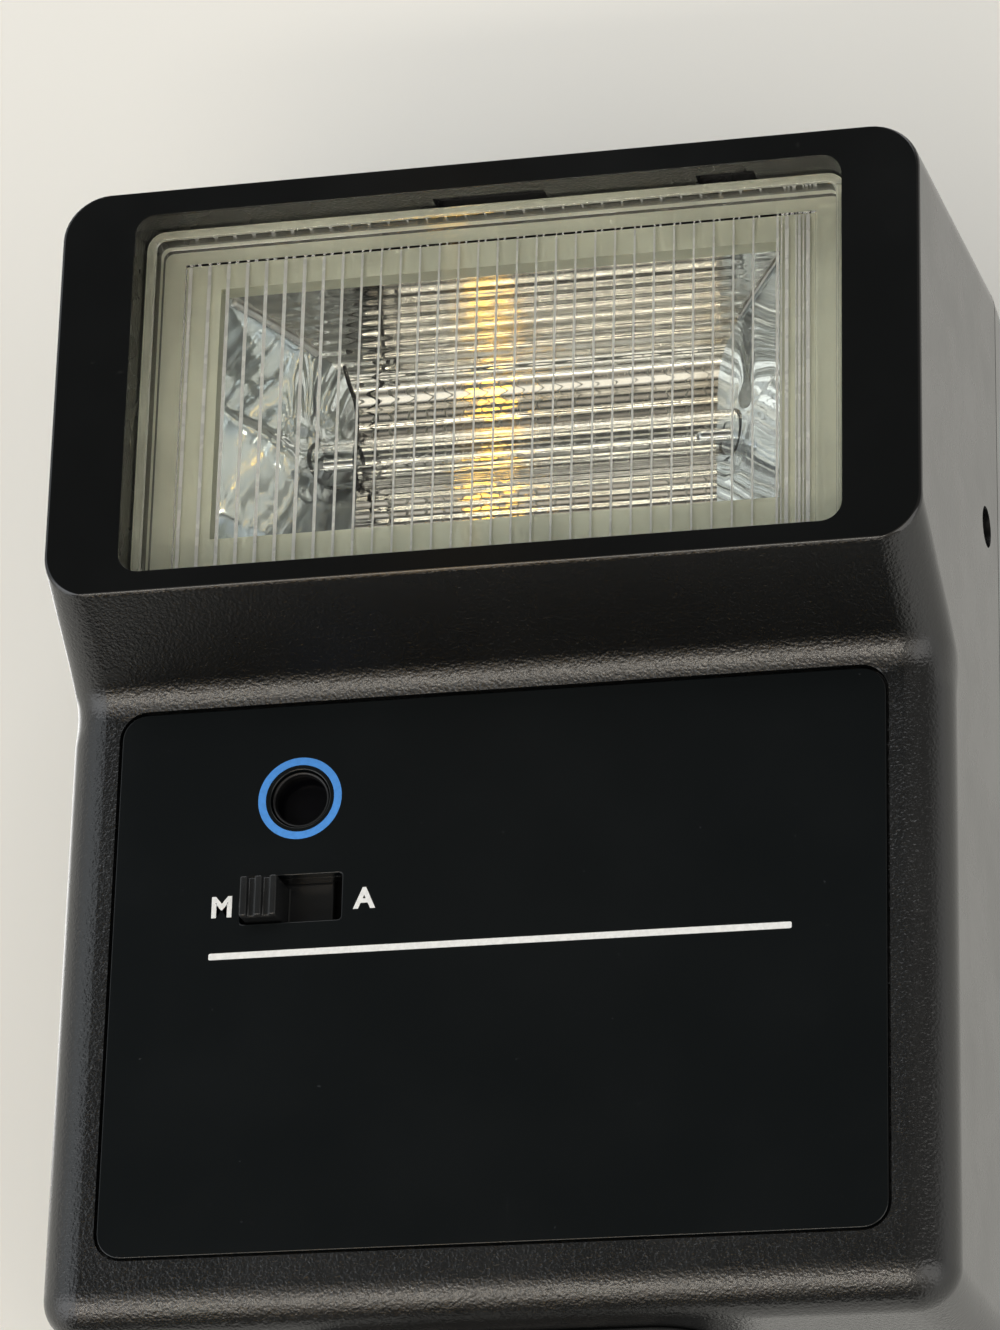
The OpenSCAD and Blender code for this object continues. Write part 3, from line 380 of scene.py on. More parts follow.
class Finish(Nodes):
    """A Principled material and calls for its patterns, which sit on Object coordinates."""

    def __init__(self, name, colour, rough, **sockets):
        self.material = bpy.data.materials.new(name)
        self.material.use_nodes = True
        super().__init__(self.material.node_tree)
        self.shader = self.tree.nodes["Principled BSDF"]
        self.feed(self.shader, Base_Color=(*colour, 1), Roughness=rough, **sockets)
        self.where = self.add("ShaderNodeTexCoord").outputs["Object"]

    def noise(self, scale, detail, rough, stretch=None):
        """Noise from 0 to 1 with scale features a metre; stretch squeezes the pattern along an axis."""
        place = self.where
        if stretch:
            place = self.feed(self.add("ShaderNodeMapping"), Vector=place, Scale=stretch).outputs[0]
        node = self.feed(self.add("ShaderNodeTexNoise"), Vector=place, Scale=scale, Detail=detail)
        return self.feed(node, Roughness=rough).outputs["Fac"]

    def spots(self, scale):
        """Distance to the nearest of scattered points, scale points a metre."""
        node = self.feed(self.add("ShaderNodeTexVoronoi"), Vector=self.where, Scale=scale)
        return node.outputs["Distance"]

    def axis(self, name):
        """One of the X, Y and Z coordinates, in metres."""
        return self.feed(self.add("ShaderNodeSeparateXYZ"), _0=self.where).outputs[name]

    def colour(self, value):
        """Links the base colour."""
        self.feed(self.shader, Base_Color=value)

    def rough(self, value):
        """Links the roughness."""
        self.feed(self.shader, Roughness=value)

    def bump(self, height, strength, depth):
        """Adds relief of depth millimetres under what is there already."""
        node = self.feed(self.add("ShaderNodeBump"), Height=height, Strength=strength, Distance=depth * MM)
        before = self.shader.inputs["Normal"].links
        if before:
            self.feed(node, Normal=before[0].from_socket)
        self.feed(self.shader, Normal=node.outputs[0])


SHELL_BLACK = (0.0016, 0.0020, 0.0022)
DUST = (0.10, 0.10, 0.095)
# Behind the front plane, where polish goes over into grain, and inside the flanks, where grain fades
POLISH_EDGE = (0.06, 0.3)
FLANK_EDGE = (1.2, 0.2)


def grained_shell():
    """Black moulding: spark grain all over, but polished on the head's front face, with dust and scuffs."""
    f = Finish("shell_grain", SHELL_BLACK, 0.36, Specular_IOR_Level=0.75)
    grain = f.noise(3600, 2, 0.6)
    pits = f.spots(4200)
    face = f.span(f.axis("Y"), *((Y_HEAD + depth) * MM for depth in POLISH_EDGE))
    edges = [(HEAD_HALF - inset) * MM for inset in FLANK_EDGE]
    flank = f.span(f.math("ABSOLUTE", f.axis("X")), *edges, 1.0, 0.25)
    cover = f.math("MULTIPLY", face, flank)
    f.bump(f.math("MULTIPLY", grain, cover), 0.85, 0.06)
    f.bump(f.math("MULTIPLY", pits, cover), 0.5, 0.04)
    wear = f.span(f.noise(45, 5, 0.7), 0.55, 0.75)
    dust = f.span(f.noise(900, 2, 0.5), 0.68, 0.8)
    specks = f.math("MULTIPLY", dust, wear)
    f.colour(f.mix(specks, SHELL_BLACK, DUST))
    smear = f.span(f.noise(120, 3, 0.6), 0.3, 0.8, 0.13, 0.17)
    f.rough(f.math("ADD", smear, f.math("MULTIPLY", face, 0.13)))
    return f.material


def moulded(name, colour, rough, grain=0.3, **sockets):
    """Moulded plastic: fine grain, roughness that wanders and a faint change of tone."""
    f = Finish(name, colour, rough, **sockets)
    tone = f.span(f.noise(160, 4, 0.6), 0.3, 0.7)
    darker = tuple(0.82 * c for c in colour)
    f.colour(f.mix(tone, darker, colour))
    f.rough(f.span(f.noise(400, 3, 0.6), 0.25, 0.75, 0.8 * rough, 1.2 * rough))
    f.bump(f.noise(2200, 2, 0.5), grain, 0.03)
    return f.material


def metal(name, colour, rough, brush=(1, 1, 1), scale=1800.0, grain=0.15):
    """Metal with fine brush marks along the axis that brush squeezes least, and dull patches."""
    f = Finish(name, colour, rough, Metallic=1.0)
    marks = f.noise(scale, 3, 0.6, stretch=brush)
    dull = f.span(f.noise(220, 4, 0.6), 0.35, 0.75)
    f.colour(f.mix(dull, colour, tuple(0.72 * c for c in colour)))
    f.rough(f.math("ADD", f.math("MULTIPLY", dull, 0.6 * rough), f.math("MULTIPLY", marks, rough)))
    f.bump(marks, grain, 0.02)
    return f.material


PANEL_INK = (0.0014, 0.0026, 0.0032)


def satin_panel():
    """Satin black inlay with a little dust and a few hair-fine scratches."""
    f = Finish("panel_satin", PANEL_INK, 0.3)
    scratch = f.span(f.noise(260, 4, 0.7, stretch=(1, 1, 0.06)), 0.71, 0.78)
    dust = f.span(f.noise(1500, 2, 0.5), 0.74, 0.82)
    marks = f.math("MULTIPLY", f.math("ADD", scratch, dust), 0.25)
    f.colour(f.mix(marks, PANEL_INK, (0.07, 0.075, 0.08)))
    f.rough(f.span(f.noise(90, 4, 0.6), 0.3, 0.75, 0.22, 0.25))
    f.bump(f.noise(3000, 2, 0.5), 0.08, 0.02)
    return f.material


def printed(name, colour):
    """Screen-printed ink: slightly uneven cover and a matt surface."""
    f = Finish(name, colour, 0.5)
    thin = f.span(f.noise(2600, 3, 0.6), 0.3, 0.7)
    f.colour(f.mix(thin, tuple(0.86 * c for c in colour), colour))
    f.bump(f.noise(4000, 2, 0.5), 0.1, 0.01)
    return f.material


def clear_moulding(name, tint, rough, ior=1.49, clear=1.0):
    """Clear plastic or glass with a tint and faint flow marks."""
    f = Finish(name, tint, rough, IOR=ior, Transmission_Weight=clear)
    f.bump(f.noise(700, 2, 0.5), 0.05, 0.02)
    f.rough(f.span(f.noise(500, 3, 0.6), 0.3, 0.8, 0.5 * rough, 1.5 * rough))
    return f.material


def silver_sheet(name, bright, dim, metallic):
    """Bright silver sheet, crinkled where it was pressed, with dull patches; less metallic is hazier."""
    f = Finish(name, bright, 0.05, Metallic=metallic)
    crinkle = f.noise(230, 3, 0.6)
    ripple = f.noise(900, 2, 0.5, stretch=(1, 1, 0.25))
    dull = f.span(f.noise(120, 4, 0.65), 0.45, 0.75)
    f.colour(f.mix(dull, bright, dim))
    f.rough(f.span(dull, 0, 1, 0.03, 0.06))
    f.bump(crinkle, 0.04, 0.2)
    f.bump(ripple, 0.05, 0.03)
    return f.material


def circuit_board():
    """Brown resin board with copper tracks under a green varnish."""
    f = Finish("board_tan", (0.30, 0.18, 0.07), 0.5)
    tracks = f.span(f.spots(260), 0.28, 0.34)
    weave = f.noise(2400, 2, 0.5)
    ground = f.mix(weave, (0.26, 0.15, 0.06), (0.36, 0.22, 0.09))
    f.colour(f.mix(tracks, ground, (0.16, 0.22, 0.09)))
    f.bump(tracks, 0.3, 0.04)
    return f.material


# Places across where the jacket's green goes over into its pale band
CELL_BAND = (10.0, 10.6)


def cell_jacket():
    """Printed battery jacket: green, with a pale band at one end, under a fine lacquer sheen."""
    f = Finish("cell_jacket", (0.10, 0.22, 0.13), 0.28, Coat_Weight=0.4)
    band = f.span(f.axis("X"), *(x * MM for x in CELL_BAND))
    tone = f.noise(300, 3, 0.5)
    green = f.mix(tone, (0.05, 0.15, 0.08), (0.08, 0.20, 0.11))
    f.colour(f.mix(band, green, (0.55, 0.45, 0.16)))
    f.bump(f.noise(2500, 2, 0.5), 0.06, 0.01)
    return f.material


SHELL = grained_shell()
PANEL = satin_panel()
WHITE = printed("white_ink", (0.80, 0.81, 0.80))
BLUE = printed("blue_ink", (0.06, 0.27, 0.72))
CLEAR = clear_moulding("window_clear", (0.985, 0.99, 0.965), 0.02)
# Ribs: near-white and nearly opaque, a painted highlight for the bright lines that light refracted by clear
# ribs makes
RIBS_PAINTED_HIGHLIGHT = clear_moulding("rib_painted_highlight", (0.98, 0.98, 0.93), 0.3, clear=0.1)
GLASS = clear_moulding("tube_glass", (0.96, 0.97, 0.97), 0.02, 1.47)
SURROUND = moulded("surround_grey", (0.86, 0.875, 0.705), 0.45, 0.1)
SILVER = silver_sheet("silver_sheet", (0.83, 0.81, 0.76), (0.60, 0.56, 0.48), 0.94)
# End walls: a bluer, less metallic copy of the trough's silver; the blue-white tone and haze are a painted
# reflection
END_SILVER_PAINTED_REFLECTION = silver_sheet("end_silver_painted_reflection", (0.84, 0.90, 0.93), (0.70, 0.75, 0.78), 0.72)
# Seam beads: real rolled seams, but their near-white tone is a painted highlight along them
SEAM_PAINTED_HIGHLIGHT = moulded("seam_painted_highlight", (0.95, 0.96, 0.96), 0.25, 0.2, Metallic=0.3)
STEEL = metal("bright_metal", (0.62, 0.63, 0.64), 0.22)
BRASS = metal("contact_brass", (0.72, 0.56, 0.26), 0.25)
KNOB = moulded("knob_black", (0.014, 0.015, 0.016), 0.22, 0.12)
FOOT = moulded("foot_black", (0.013, 0.0135, 0.014), 0.42, 0.35)
LABEL = moulded("rear_label", (0.018, 0.020, 0.022), 0.34, 0.1)
RED = moulded("button_red", (0.42, 0.022, 0.016), 0.2, 0.1)
ORANGE = clear_moulding("ready_orange", (0.95, 0.26, 0.03), 0.12)

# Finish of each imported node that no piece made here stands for
NODE_FINISH = {
    "reflector_frame": SURROUND,
    "tube_caps": STEEL,
    "tube_sleeves": moulded("sleeve_rubber", (0.62, 0.60, 0.52), 0.6),
    "sensor_tube": moulded("sensor_black", (0.002, 0.002, 0.0024), 0.4, 0.1, Specular_IOR_Level=0.4),
    "sensor_lens": moulded("sensor_glass", (0.002, 0.002, 0.003), 0.2, 0.05, Specular_IOR_Level=0.25),
    "light_sensor": moulded("sensor_cell", (0.02, 0.02, 0.022), 0.4),
    "front_board": circuit_board(),
    "board_components": moulded("component_tan", (0.45, 0.32, 0.16), 0.45),
    "board_screws": STEEL,
    "mode_switch_base": moulded("switch_black", (0.005, 0.005, 0.006), 0.5, Specular_IOR_Level=0.3),
    "transformer_core": moulded("core_iron", (0.15, 0.155, 0.16), 0.6, 0.4, Metallic=0.8),
    "transformer_winding": metal("winding_copper", (0.62, 0.28, 0.10), 0.3, (1, 1, 0.05), 3000, 0.5),
    "trigger_coil": metal("coil_red", (0.40, 0.10, 0.05), 0.35, (1, 0.05, 0.05), 4000, 0.5),
    "main_capacitor": moulded("capacitor_sleeve", (0.03, 0.05, 0.10), 0.25, 0.08),
    "ready_lamp": clear_moulding("lamp_glass", (0.95, 0.62, 0.35), 0.03),
    "battery_tray": moulded("tray_black", (0.02, 0.021, 0.022), 0.5, 0.35),
    "battery_cells": cell_jacket(),
    "battery_springs": metal("spring_steel", (0.66, 0.67, 0.68), 0.2),
    "battery_plates": BRASS,
    "sync_socket": STEEL,
    "tube_leads": moulded("lead_red", (0.35, 0.025, 0.018), 0.4, 0.15),
    "foot_rivets": STEEL,
    "foot_screws": STEEL,
    "ground_contact": BRASS,
    "contact_pin": BRASS,
    "case_screws": STEEL,
}
# Nodes that take another node's finish
SAME_FINISH = {
    "rear_board": "front_board",
    "rear_board_screws": "board_screws",
    "power_switch_base": "mode_switch_base",
    "test_switch_base": "mode_switch_base",
}


def finish_nodes():
    """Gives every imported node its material; nodes that are stood for take the shell's."""
    for name, node in NODES.items():
        material = NODE_FINISH.get(SAME_FINISH.get(name, name), SHELL)
        if not node.data.materials:
            node.data.materials.append(material)
        for place in node.material_slots:
            place.material = material


# Front shell

SLOPE_RUN = SET_BACK / COVE_DROP
COVE_TURN = math.atan(SLOPE_RUN)
COVE_REACH = COVE_R * math.tan(COVE_TURN / 2)
Z_COVE = Z_HEAD - COVE_DROP - COVE_REACH
Z_SLOPE = Z_COVE + COVE_R * math.sin(COVE_TURN)
# Round of the head's front edge, and how softly the slope runs into its front plane
CRISP = 0.3
CRISP_SOFT = 0.15
LEAST_SPEED = 1e-9
# Heights about the head's lower edge, and the angle where its corner's own heights begin
CREASE = np.array([0.02, 0.06, 0.12, 0.2, 0.3])
HEAD_TURN = 0.45
# Where the corner's depth starts to change, below the cove, and how far short of the head it ends
CHANGE_BELOW = 1.5
CHANGE_SHORT = 0.5
# Points along a section: side, corner, round edge and front
SIDE_STEPS = 6
ARC_STEPS = 15
EDGE_STEPS = 7
FRONT_STEPS = 4


def shell_heights():
    """Heights of the front shell's level sections, close together where the outline turns."""
    crease = Z_HEAD + np.concatenate([-CREASE[::-1], CREASE])
    return np.concatenate([
        Z_FLOOR + EDGE_R * (1 - np.cos(turn(12))),
        np.linspace(Z_FLOOR + EDGE_R, Z_COVE - 1, 4)[1:],
        Z_COVE + COVE_R * np.sin(turn(14, 0, COVE_TURN)),
        np.linspace(Z_SLOPE, crease[0], 6)[1:-1],
        crease,
        Z_HEAD + CORNER_R * (1 - np.cos(turn(12, HEAD_TURN))),
        np.linspace(Z_HEAD + CORNER_R, Z_TOP - CORNER_R, 5)[1:-1],
        Z_TOP - CORNER_R * (1 - np.sin(turn(12))),
    ])


def front_depth(h):
    """Depth of the front at height h: flat, round in the cove, then the slope, which runs past the head."""
    slope = Y_HEAD + (Z_HEAD - h) * SLOPE_RUN
    cove = Y_LOW - COVE_R + np.sqrt(np.clip(COVE_R**2 - (h - Z_COVE)**2, 0, None))
    return np.where(h <= Z_COVE, Y_LOW, np.where(h < Z_SLOPE, cove, slope))


def shell_sections():
    """Half sections of the front shell, one row a height, from the seam round to the middle of the front.

    A section is a straight side with draft, a quarter ellipse cut off by the head's front plane, a small
    Bezier round that edge and the straight front. The ellipse shrinks to a point at the foot, which rounds
    the lower edges, and the side draws in at the top by a quarter circle."""
    h = shell_heights()[:, None]
    swell = np.sqrt(1 - (1 - np.clip((h - Z_FLOOR) / EDGE_R, 0, 1))**2)
    rise = np.clip((h - Z_COVE + CHANGE_BELOW) / (Z_HEAD - Z_COVE - CHANGE_SHORT), 0, 1)
    rise = rise * rise * (3 - 2 * rise)
    wide = CORNER_R * swell
    deep = (EDGE_R + (CORNER_R * SLOPE_RUN - EDGE_R) * rise) * swell
    crown = CORNER_R - np.sqrt(CORNER_R**2 - np.clip(h - Z_TOP + CORNER_R, 0, CORNER_R)**2)
    inset = CORNER_R * (1 - swell) + crown
    uncut = front_depth(h) + EDGE_R * (1 - swell)
    face = (uncut + Y_HEAD + np.sqrt((uncut - Y_HEAD)**2 + CRISP_SOFT**2)) / 2

    def half(y):
        return HEAD_HALF + FLARE * (y - Y_HEAD) / FRONT_D - inset

    last = np.arcsin(np.clip(1 - (face - uncut) / np.maximum(deep, TINY), 0, 1))
    speed = np.hypot(wide * np.sin(last), deep * np.cos(last)) + LEAST_SPEED
    along = np.where(deep > TINY, -wide * np.sin(last) / speed, -1.0)
    ahead = np.where(deep > TINY, -deep * np.cos(last) / speed, 0.0)
    crisp = CRISP * swell
    angle = np.clip(last - crisp / speed, 0, None) * np.linspace(0, 1, ARC_STEPS)
    arc_y = np.maximum(uncut + deep * (1 - np.sin(angle)), face - crisp * ahead)
    arc_x = half(arc_y) - wide * (1 - np.cos(angle))
    side_y = Y_SEAM + (arc_y[:, :1] - Y_SEAM) * np.linspace(0, 1, SIDE_STEPS)[:-1]
    edge_x = half(face) - wide * (1 - np.cos(last))
    u = np.linspace(0, 1, EDGE_STEPS)[1:]
    bend_x = (1 - u)**2 * (edge_x - crisp * along) + 2 * u * (1 - u) * edge_x + u**2 * (edge_x - crisp)
    bend_y = (1 - u)**2 * (face - crisp * ahead) + (1 - (1 - u)**2) * face
    front_x = (edge_x - crisp) * np.linspace(1, 0, FRONT_STEPS)[1:]
    x = np.hstack([half(side_y), arc_x, bend_x, front_x])
    y = np.hstack([side_y, arc_y, bend_y, np.repeat(face, FRONT_STEPS - 1, axis=1)])
    lift = FLARE * np.clip((h - Z_HEAD) / HEAD_H, 0, 1)
    return np.stack([x, y, h + lift * (y - Y_HEAD) / FRONT_D], -1)


def shell_block(name):
    """Front shell without its hollows: half sections and their mirror image, closed at foot, top and seam."""
    right = shell_sections()
    left = right[:, -2::-1] * (-1, 1, 1)
    points = np.concatenate([right, left], axis=1)
    rows, cols = points.shape[:2]
    number = np.arange(rows * cols).reshape(rows, cols)
    seam = np.concatenate([number[:, 0], number[::-1, -1]])
    faces = list(grid_faces(rows, cols)) + [number[0], number[-1], seam]
    return weld(new_object(name, points.reshape(-1, 3), faces), flat=0.2)


# Groove round the panel, hole behind the sensor's, and hole for a plug in the right side
GROOVE = 0.22
SENSOR_HOLE_R = 3.2
ENTRY_R = 1.6
ENTRY_DEEP = 2.0
SHELL_SOFT = 0.14
# Snap tabs in the window's walls: middle across, width, and whether at the top
TAB_SLOTS = ((0.0, 8.6, True), (18.1, 4.4, True), (2.25, 3.0, False))
TAB_DEPTH = 0.8
TAB_SPAN = (-1.1, 0.6)


def tab_slot(x, width, top):
    """Pocket for a snap tab in the upper or lower wall of the window's recess."""
    z = LENS_HIGH[2] if top else LENS_LOW[2]
    y0, y1 = (LENS_LOW[1] + step for step in TAB_SPAN)
    return box("tab", (x - width / 2, y0, z - TAB_DEPTH), (x + width / 2, y1, z + TAB_DEPTH))


def front_shell():
    """Front moulding: the block less its cavity, window, panel seat, sensor hole, slot, side hole, tabs."""
    shell = shell_block("front_shell_skin")
    y_cavity = Y_LEDGE + LEDGE_T
    top = Z_TOP - WALL + FLARE * (y_cavity - Y_HEAD) / FRONT_D
    y_open, z_in = Y_SEAM + PAST, Z_FLOOR + WALL
    cavity = [(y_open, z_in), (Y_IN, z_in), (Y_IN, Z_HEAD)]
    cavity += [(y_cavity, Z_HEAD), (y_cavity, top), (y_open, top)]
    seat = face_outline(PANEL_LOW, PANEL_HIGH, PANEL_R + GROOVE, GROOVE)
    window = face_outline(LENS_LOW, LENS_HIGH, WINDOW_R, SEAT_GAP)
    mouth = face_outline(BOWL_LOW, BOWL_HIGH, WINDOW_R, SEAT_GAP)
    slot_low = (SLOT_X - SLOT_W / 2, Y_LOW, MODE_Z - SLOT_H / 2)
    slot_high = (SLOT_X + SLOT_W / 2, Y_IN + PAST, MODE_Z + SLOT_H / 2)
    carve(shell, across("cavity", np.array(cavity), -HEAD_HALF + WALL, HEAD_HALF - WALL))
    carve(
        shell,
        prism("window", window, Y_HEAD - PAST, Y_LEDGE),
        prism("mouth", mouth, Y_LEDGE - PAST, y_cavity + PAST),
        prism("seat", seat, Y_LOW - PAST, PANEL_HIGH[1]),
        prism("sensor", circle(SENSOR_X, SENSOR_Z, SENSOR_HOLE_R), Y_LOW, Y_IN + PAST),
        box("slot", slot_low, slot_high),
        across("plug", circle(SOCKET[1], SOCKET[2], ENTRY_R), SOCKET_END - ENTRY_DEEP, SEAM_HALF + PAST),
        *(tab_slot(*place) for place in TAB_SLOTS),
    )
    soften(shell, SHELL_SOFT)
    dress(shell, SHELL, "shell_black", "front_shell")


# Rear shell and battery door

SEAM_GROOVE = 0.3
LEAST_R = 0.5


def rear_block(name):
    """Rear shell without its hollows: rounded rectangles one behind the other.

    They draw in a little at the seam, which leaves a groove, and along a quarter circle at the rear."""
    angle = turn(12)
    inset = np.concatenate([[SEAM_GROOVE, 0.0], REAR_R * (1 - np.cos(angle))])
    depth = np.concatenate([[Y_SEAM, Y_SEAM + SEAM_GROOVE], Y_REAR - REAR_R * (1 - np.sin(angle))])
    rings = []
    for step, y in zip(inset, depth):
        low, high = (step - SEAM_HALF, Z_FLOOR + step), (SEAM_HALF - step, SEAM_TOP - step)
        rings.append(at_depth(rounded_outline(low, high, max(CORNER_R - step, LEAST_R)), y))
    return weld(loft(name, rings), flat=0.2)


def screw_places():
    """The four case screws' (x, z) places."""
    x = SCREWS_HIGH[0] - SCREW_HEAD_R
    levels = SCREWS_LOW[2] + SCREW_HEAD_R, SCREWS_HIGH[2] - SCREW_HEAD_R
    return [(side * x, z) for side in (-1, 1) for z in levels]


# Screw bosses and wells, the door's rails and lip, and the openings for the controls
BOSS_R = 3.8
WELL_DEEP = 3.0
RAIL_OUT = 1.35
RAIL_Y = (13.7, 15.25)
RAIL_DROP = 0.6
DOOR_LIP = 1.5
POWER_TRAVEL = 4.0
POWER_H = 4.0
POWER_W = 5.0
READY_R = 2.6
BUTTON_R = 3.6


def rear_shell():
    """Rear moulding: the block less its room, door opening, label seat, screw wells and control openings."""
    shell = rear_block("rear_shell_skin")
    half = SEAM_HALF - WALL
    room = box("room", (-half, Y_SEAM - PAST, Z_FLOOR + WALL), (half, Y_REAR_IN, SEAM_TOP - WALL))
    bosses = [prism("boss", circle(*place, BOSS_R), Y_SEAM - 2 * PAST, Y_REAR) for place in screw_places()]
    carve(room, *bosses)
    carve(shell, room)
    half = DOOR_W / 2
    rail = half + RAIL_OUT
    out, within = Y_REAR + PAST, Y_REAR_IN - PAST
    seat = face_outline(LABEL_LOW, LABEL_HIGH, PANEL_R, SEAT_GAP)
    reach = np.array([POWER_W / 2 + SLIDE_GAP, POWER_H / 2 + SLIDE_GAP])
    power_low = POWER[[0, 2]] - reach
    power_high = POWER[[0, 2]] + reach + (POWER_TRAVEL, 0)
    well_r = SCREW_HEAD_R + SEAT_GAP
    carve(
        shell,
        box("door", (-half, Y_REAR_IN - DOOR_LIP, Z_FLOOR + WALL), (half, out, DOOR_TOP)),
        box("sill", (-half, Y_REAR_IN, Z_FLOOR - PAST), (half, out, DOOR_TOP)),
        box("rails", (-rail, RAIL_Y[0], Z_FLOOR - PAST), (rail, RAIL_Y[1], DOOR_TOP - RAIL_DROP)),
        prism("label", seat, LABEL_LOW[1], out),
        box("power", (power_low[0], within, power_low[1]), (power_high[0], out, power_high[1])),
        prism("ready", circle(*READY[[0, 2]], READY_R + SEAT_GAP), within, out),
        prism("button", circle(*BUTTON[[0, 2]], BUTTON_R + SLIDE_GAP), within, out),
        *(prism("well", circle(*place, well_r), Y_REAR - WELL_DEEP, out) for place in screw_places()),
    )
    soften(shell, SHELL_SOFT)
    dress(shell, SHELL, "shell_black", "rear_shell")


# Door's edges, tongues, grip ribs and arrow
DOOR_SOFT = 0.16
TONGUE_Y = (13.95, 14.75)
TONGUE_LIFT = 1.5
TONGUE_DROP = 0.75
GRIP_HALF = 8.0
GRIP_RIBS = 5
GRIP_STEP = 1.8
GRIP_DROP = 5.0
GRIP_RIB = 0.8
GRIP_ROOT = 0.5
GRIP_R = 0.35
ARROW_W = 6.0
ARROW_H = 3.4
ARROW_DROP = 16.0
ARROW_DEEP = 0.7


def battery_door():
    """Sliding door: the rear block's skin between its rails, with tongues, a ribbed grip and an arrow."""
    door = rear_block("battery_door_skin")
    half = DOOR_W / 2 - SLIDE_GAP
    top = DOOR_HIGH[2]
    span = box("span", (-half, Y_REAR_IN + SEAT_GAP, Z_FLOOR - PAST), (half, Y_REAR + PAST, top))
    carve(door, span, how="INTERSECT")
    ribs = []
    for z in top - GRIP_DROP - GRIP_STEP * np.arange(GRIP_RIBS):
        outline = rounded_outline((-GRIP_HALF, z), (GRIP_HALF, z + GRIP_RIB), GRIP_R, 5)
        ribs.append(prism("grip", outline, Y_REAR - GRIP_ROOT, DOOR_HIGH[1]))
    tongue_low = (DOOR_LOW[0], TONGUE_Y[0], Z_FLOOR + TONGUE_LIFT)
    tongue_high = (DOOR_HIGH[0], TONGUE_Y[1], top - TONGUE_DROP)
    tongues = box("tongues", tongue_low, tongue_high)
    carve(door, tongues, *ribs, how="UNION")
    point = top - ARROW_DROP - ARROW_H
    arrow = np.array([(-ARROW_W / 2, point + ARROW_H), (0, point), (ARROW_W / 2, point + ARROW_H)])
    carve(door, prism("arrow", arrow, Y_REAR - ARROW_DEEP, Y_REAR + PAST))
    soften(door, DOOR_SOFT)
    dress(door, SHELL, "shell_black", "battery_door", body="door")


# Front panel and its printing

# Sensor's hole, ink above and below the surface, and the ring's radii
SENSOR_R = 2.25
INK_OUT = 0.02
INK_IN = 0.04
RING_R = (2.62, 3.2)
# Printed rule: left and right end, level and thickness
RULE = (-21.4, 22.0, 37.9, 0.5)
RULE_R = 0.1
LETTER_H = 1.65
LETTER_BOLD = 0.035
# Switch letters: place across, and how far below the knob's middle
MODE_LETTERS = (("M", -20.55, 0.3), ("A", -9.7, 0.2))
CAP_H = 0.73
PANEL_SOFT = 0.1
SLOT_R = 0.25
# Sensor's rim: inset from the hole's edge and depth, round the section
COLLAR_DEEP = 0.35
COLLAR = ((0.02, 0.5), (0.02, 0.0), (0.12, -0.12), (0.26, -0.05), (0.32, 0.12), (0.32, 0.5))


def slot_outline():
    """Outline of the mode switch's slot."""
    half = np.array([SLOT_W, SLOT_H]) / 2
    centre = np.array([SLOT_X, MODE_Z])
    return rounded_outline(centre - half, centre + half, SLOT_R, 4)


def lettering(name, words, facing, bold=0.012):
    """Mesh of several words in one piece; each is (text, middle x, middle z, height) and is as thick as ink.

    The face looks along -Y with facing -1 and along +Y with facing +1."""
    y = Y_LOW if facing < 0 else Y_REAR
    points = []
    faces = []
    count = 0
    for text, x, z, height in words:
        curve = bpy.data.curves.new("words", "FONT")
        curve.body = text
        curve.resolution_u = 3
        curve.offset = bold
        curve.extrude = 0.5
        maker = bpy.data.objects.new("words", curve)
        bpy.context.scene.collection.objects.link(maker)
        graph = bpy.context.evaluated_depsgraph_get()
        made = bpy.data.meshes.new_from_object(maker.evaluated_get(graph))
        flat = np.empty(3 * len(made.vertices))
        made.vertices.foreach_get("co", flat)
        flat = flat.reshape(-1, 3)
        low, high = flat.min(0), flat.max(0)
        tall = CAP_H if text.isdigit() or len(text) > 1 else high[1] - low[1]
        scale = height / tall
        level = np.where(flat[:, 2] > 0, INK_OUT, -INK_IN)
        sideways = (flat[:, 0] - (low[0] + high[0]) / 2) * scale * -facing
        upright = (flat[:, 1] - tall / 2) * scale
        points.append(np.stack([x + sideways, y + facing * level, z + upright], -1))
        faces += [[v + count for v in polygon.vertices] for polygon in made.polygons]
        count += len(flat)
        bpy.data.objects.remove(maker)
        bpy.data.meshes.remove(made)
        bpy.data.curves.remove(curve)
    return weld(new_object(name, np.vstack(points), faces), gap=0.0005)


def front_panel():
    """Inlay: a rounded rectangle with the sensor's hole and the switch's slot, and its printing."""
    outline = face_outline(PANEL_LOW, PANEL_HIGH, PANEL_R)
    plate = prism("front_panel_inlay", outline, PANEL_LOW[1], PANEL_HIGH[1])
    carve(
        plate,
        prism("hole", circle(SENSOR_X, SENSOR_Z, SENSOR_R), Y_LOW - PAST, Y_IN),
        prism("slot", slot_outline(), Y_LOW - PAST, Y_IN),
    )
    soften(plate, PANEL_SOFT)
    dress(plate, PANEL, "panel_black", "front_panel")
    front, back = Y_LOW - INK_OUT, Y_LOW + INK_IN
    inner, outer = RING_R
    section = [(inner, back), (inner, front), (outer, front), (outer, back)]
    ring = revolve("sensor_ring", (SENSOR_X, 0, SENSOR_Z), section, closed=True)
    dress(ring, BLUE, "panel_black")
    x0, x1, z, thick = RULE
    outline = rounded_outline((x0, z - thick / 2), (x1, z + thick / 2), RULE_R, 3)
    dress(prism("panel_rule", outline, front, back), WHITE, "panel_black")
    words = [(text, x, MODE_Z - drop, LETTER_H) for text, x, drop in MODE_LETTERS]
    dress(lettering("mode_letters", words, -1, LETTER_BOLD), WHITE, "panel_black")


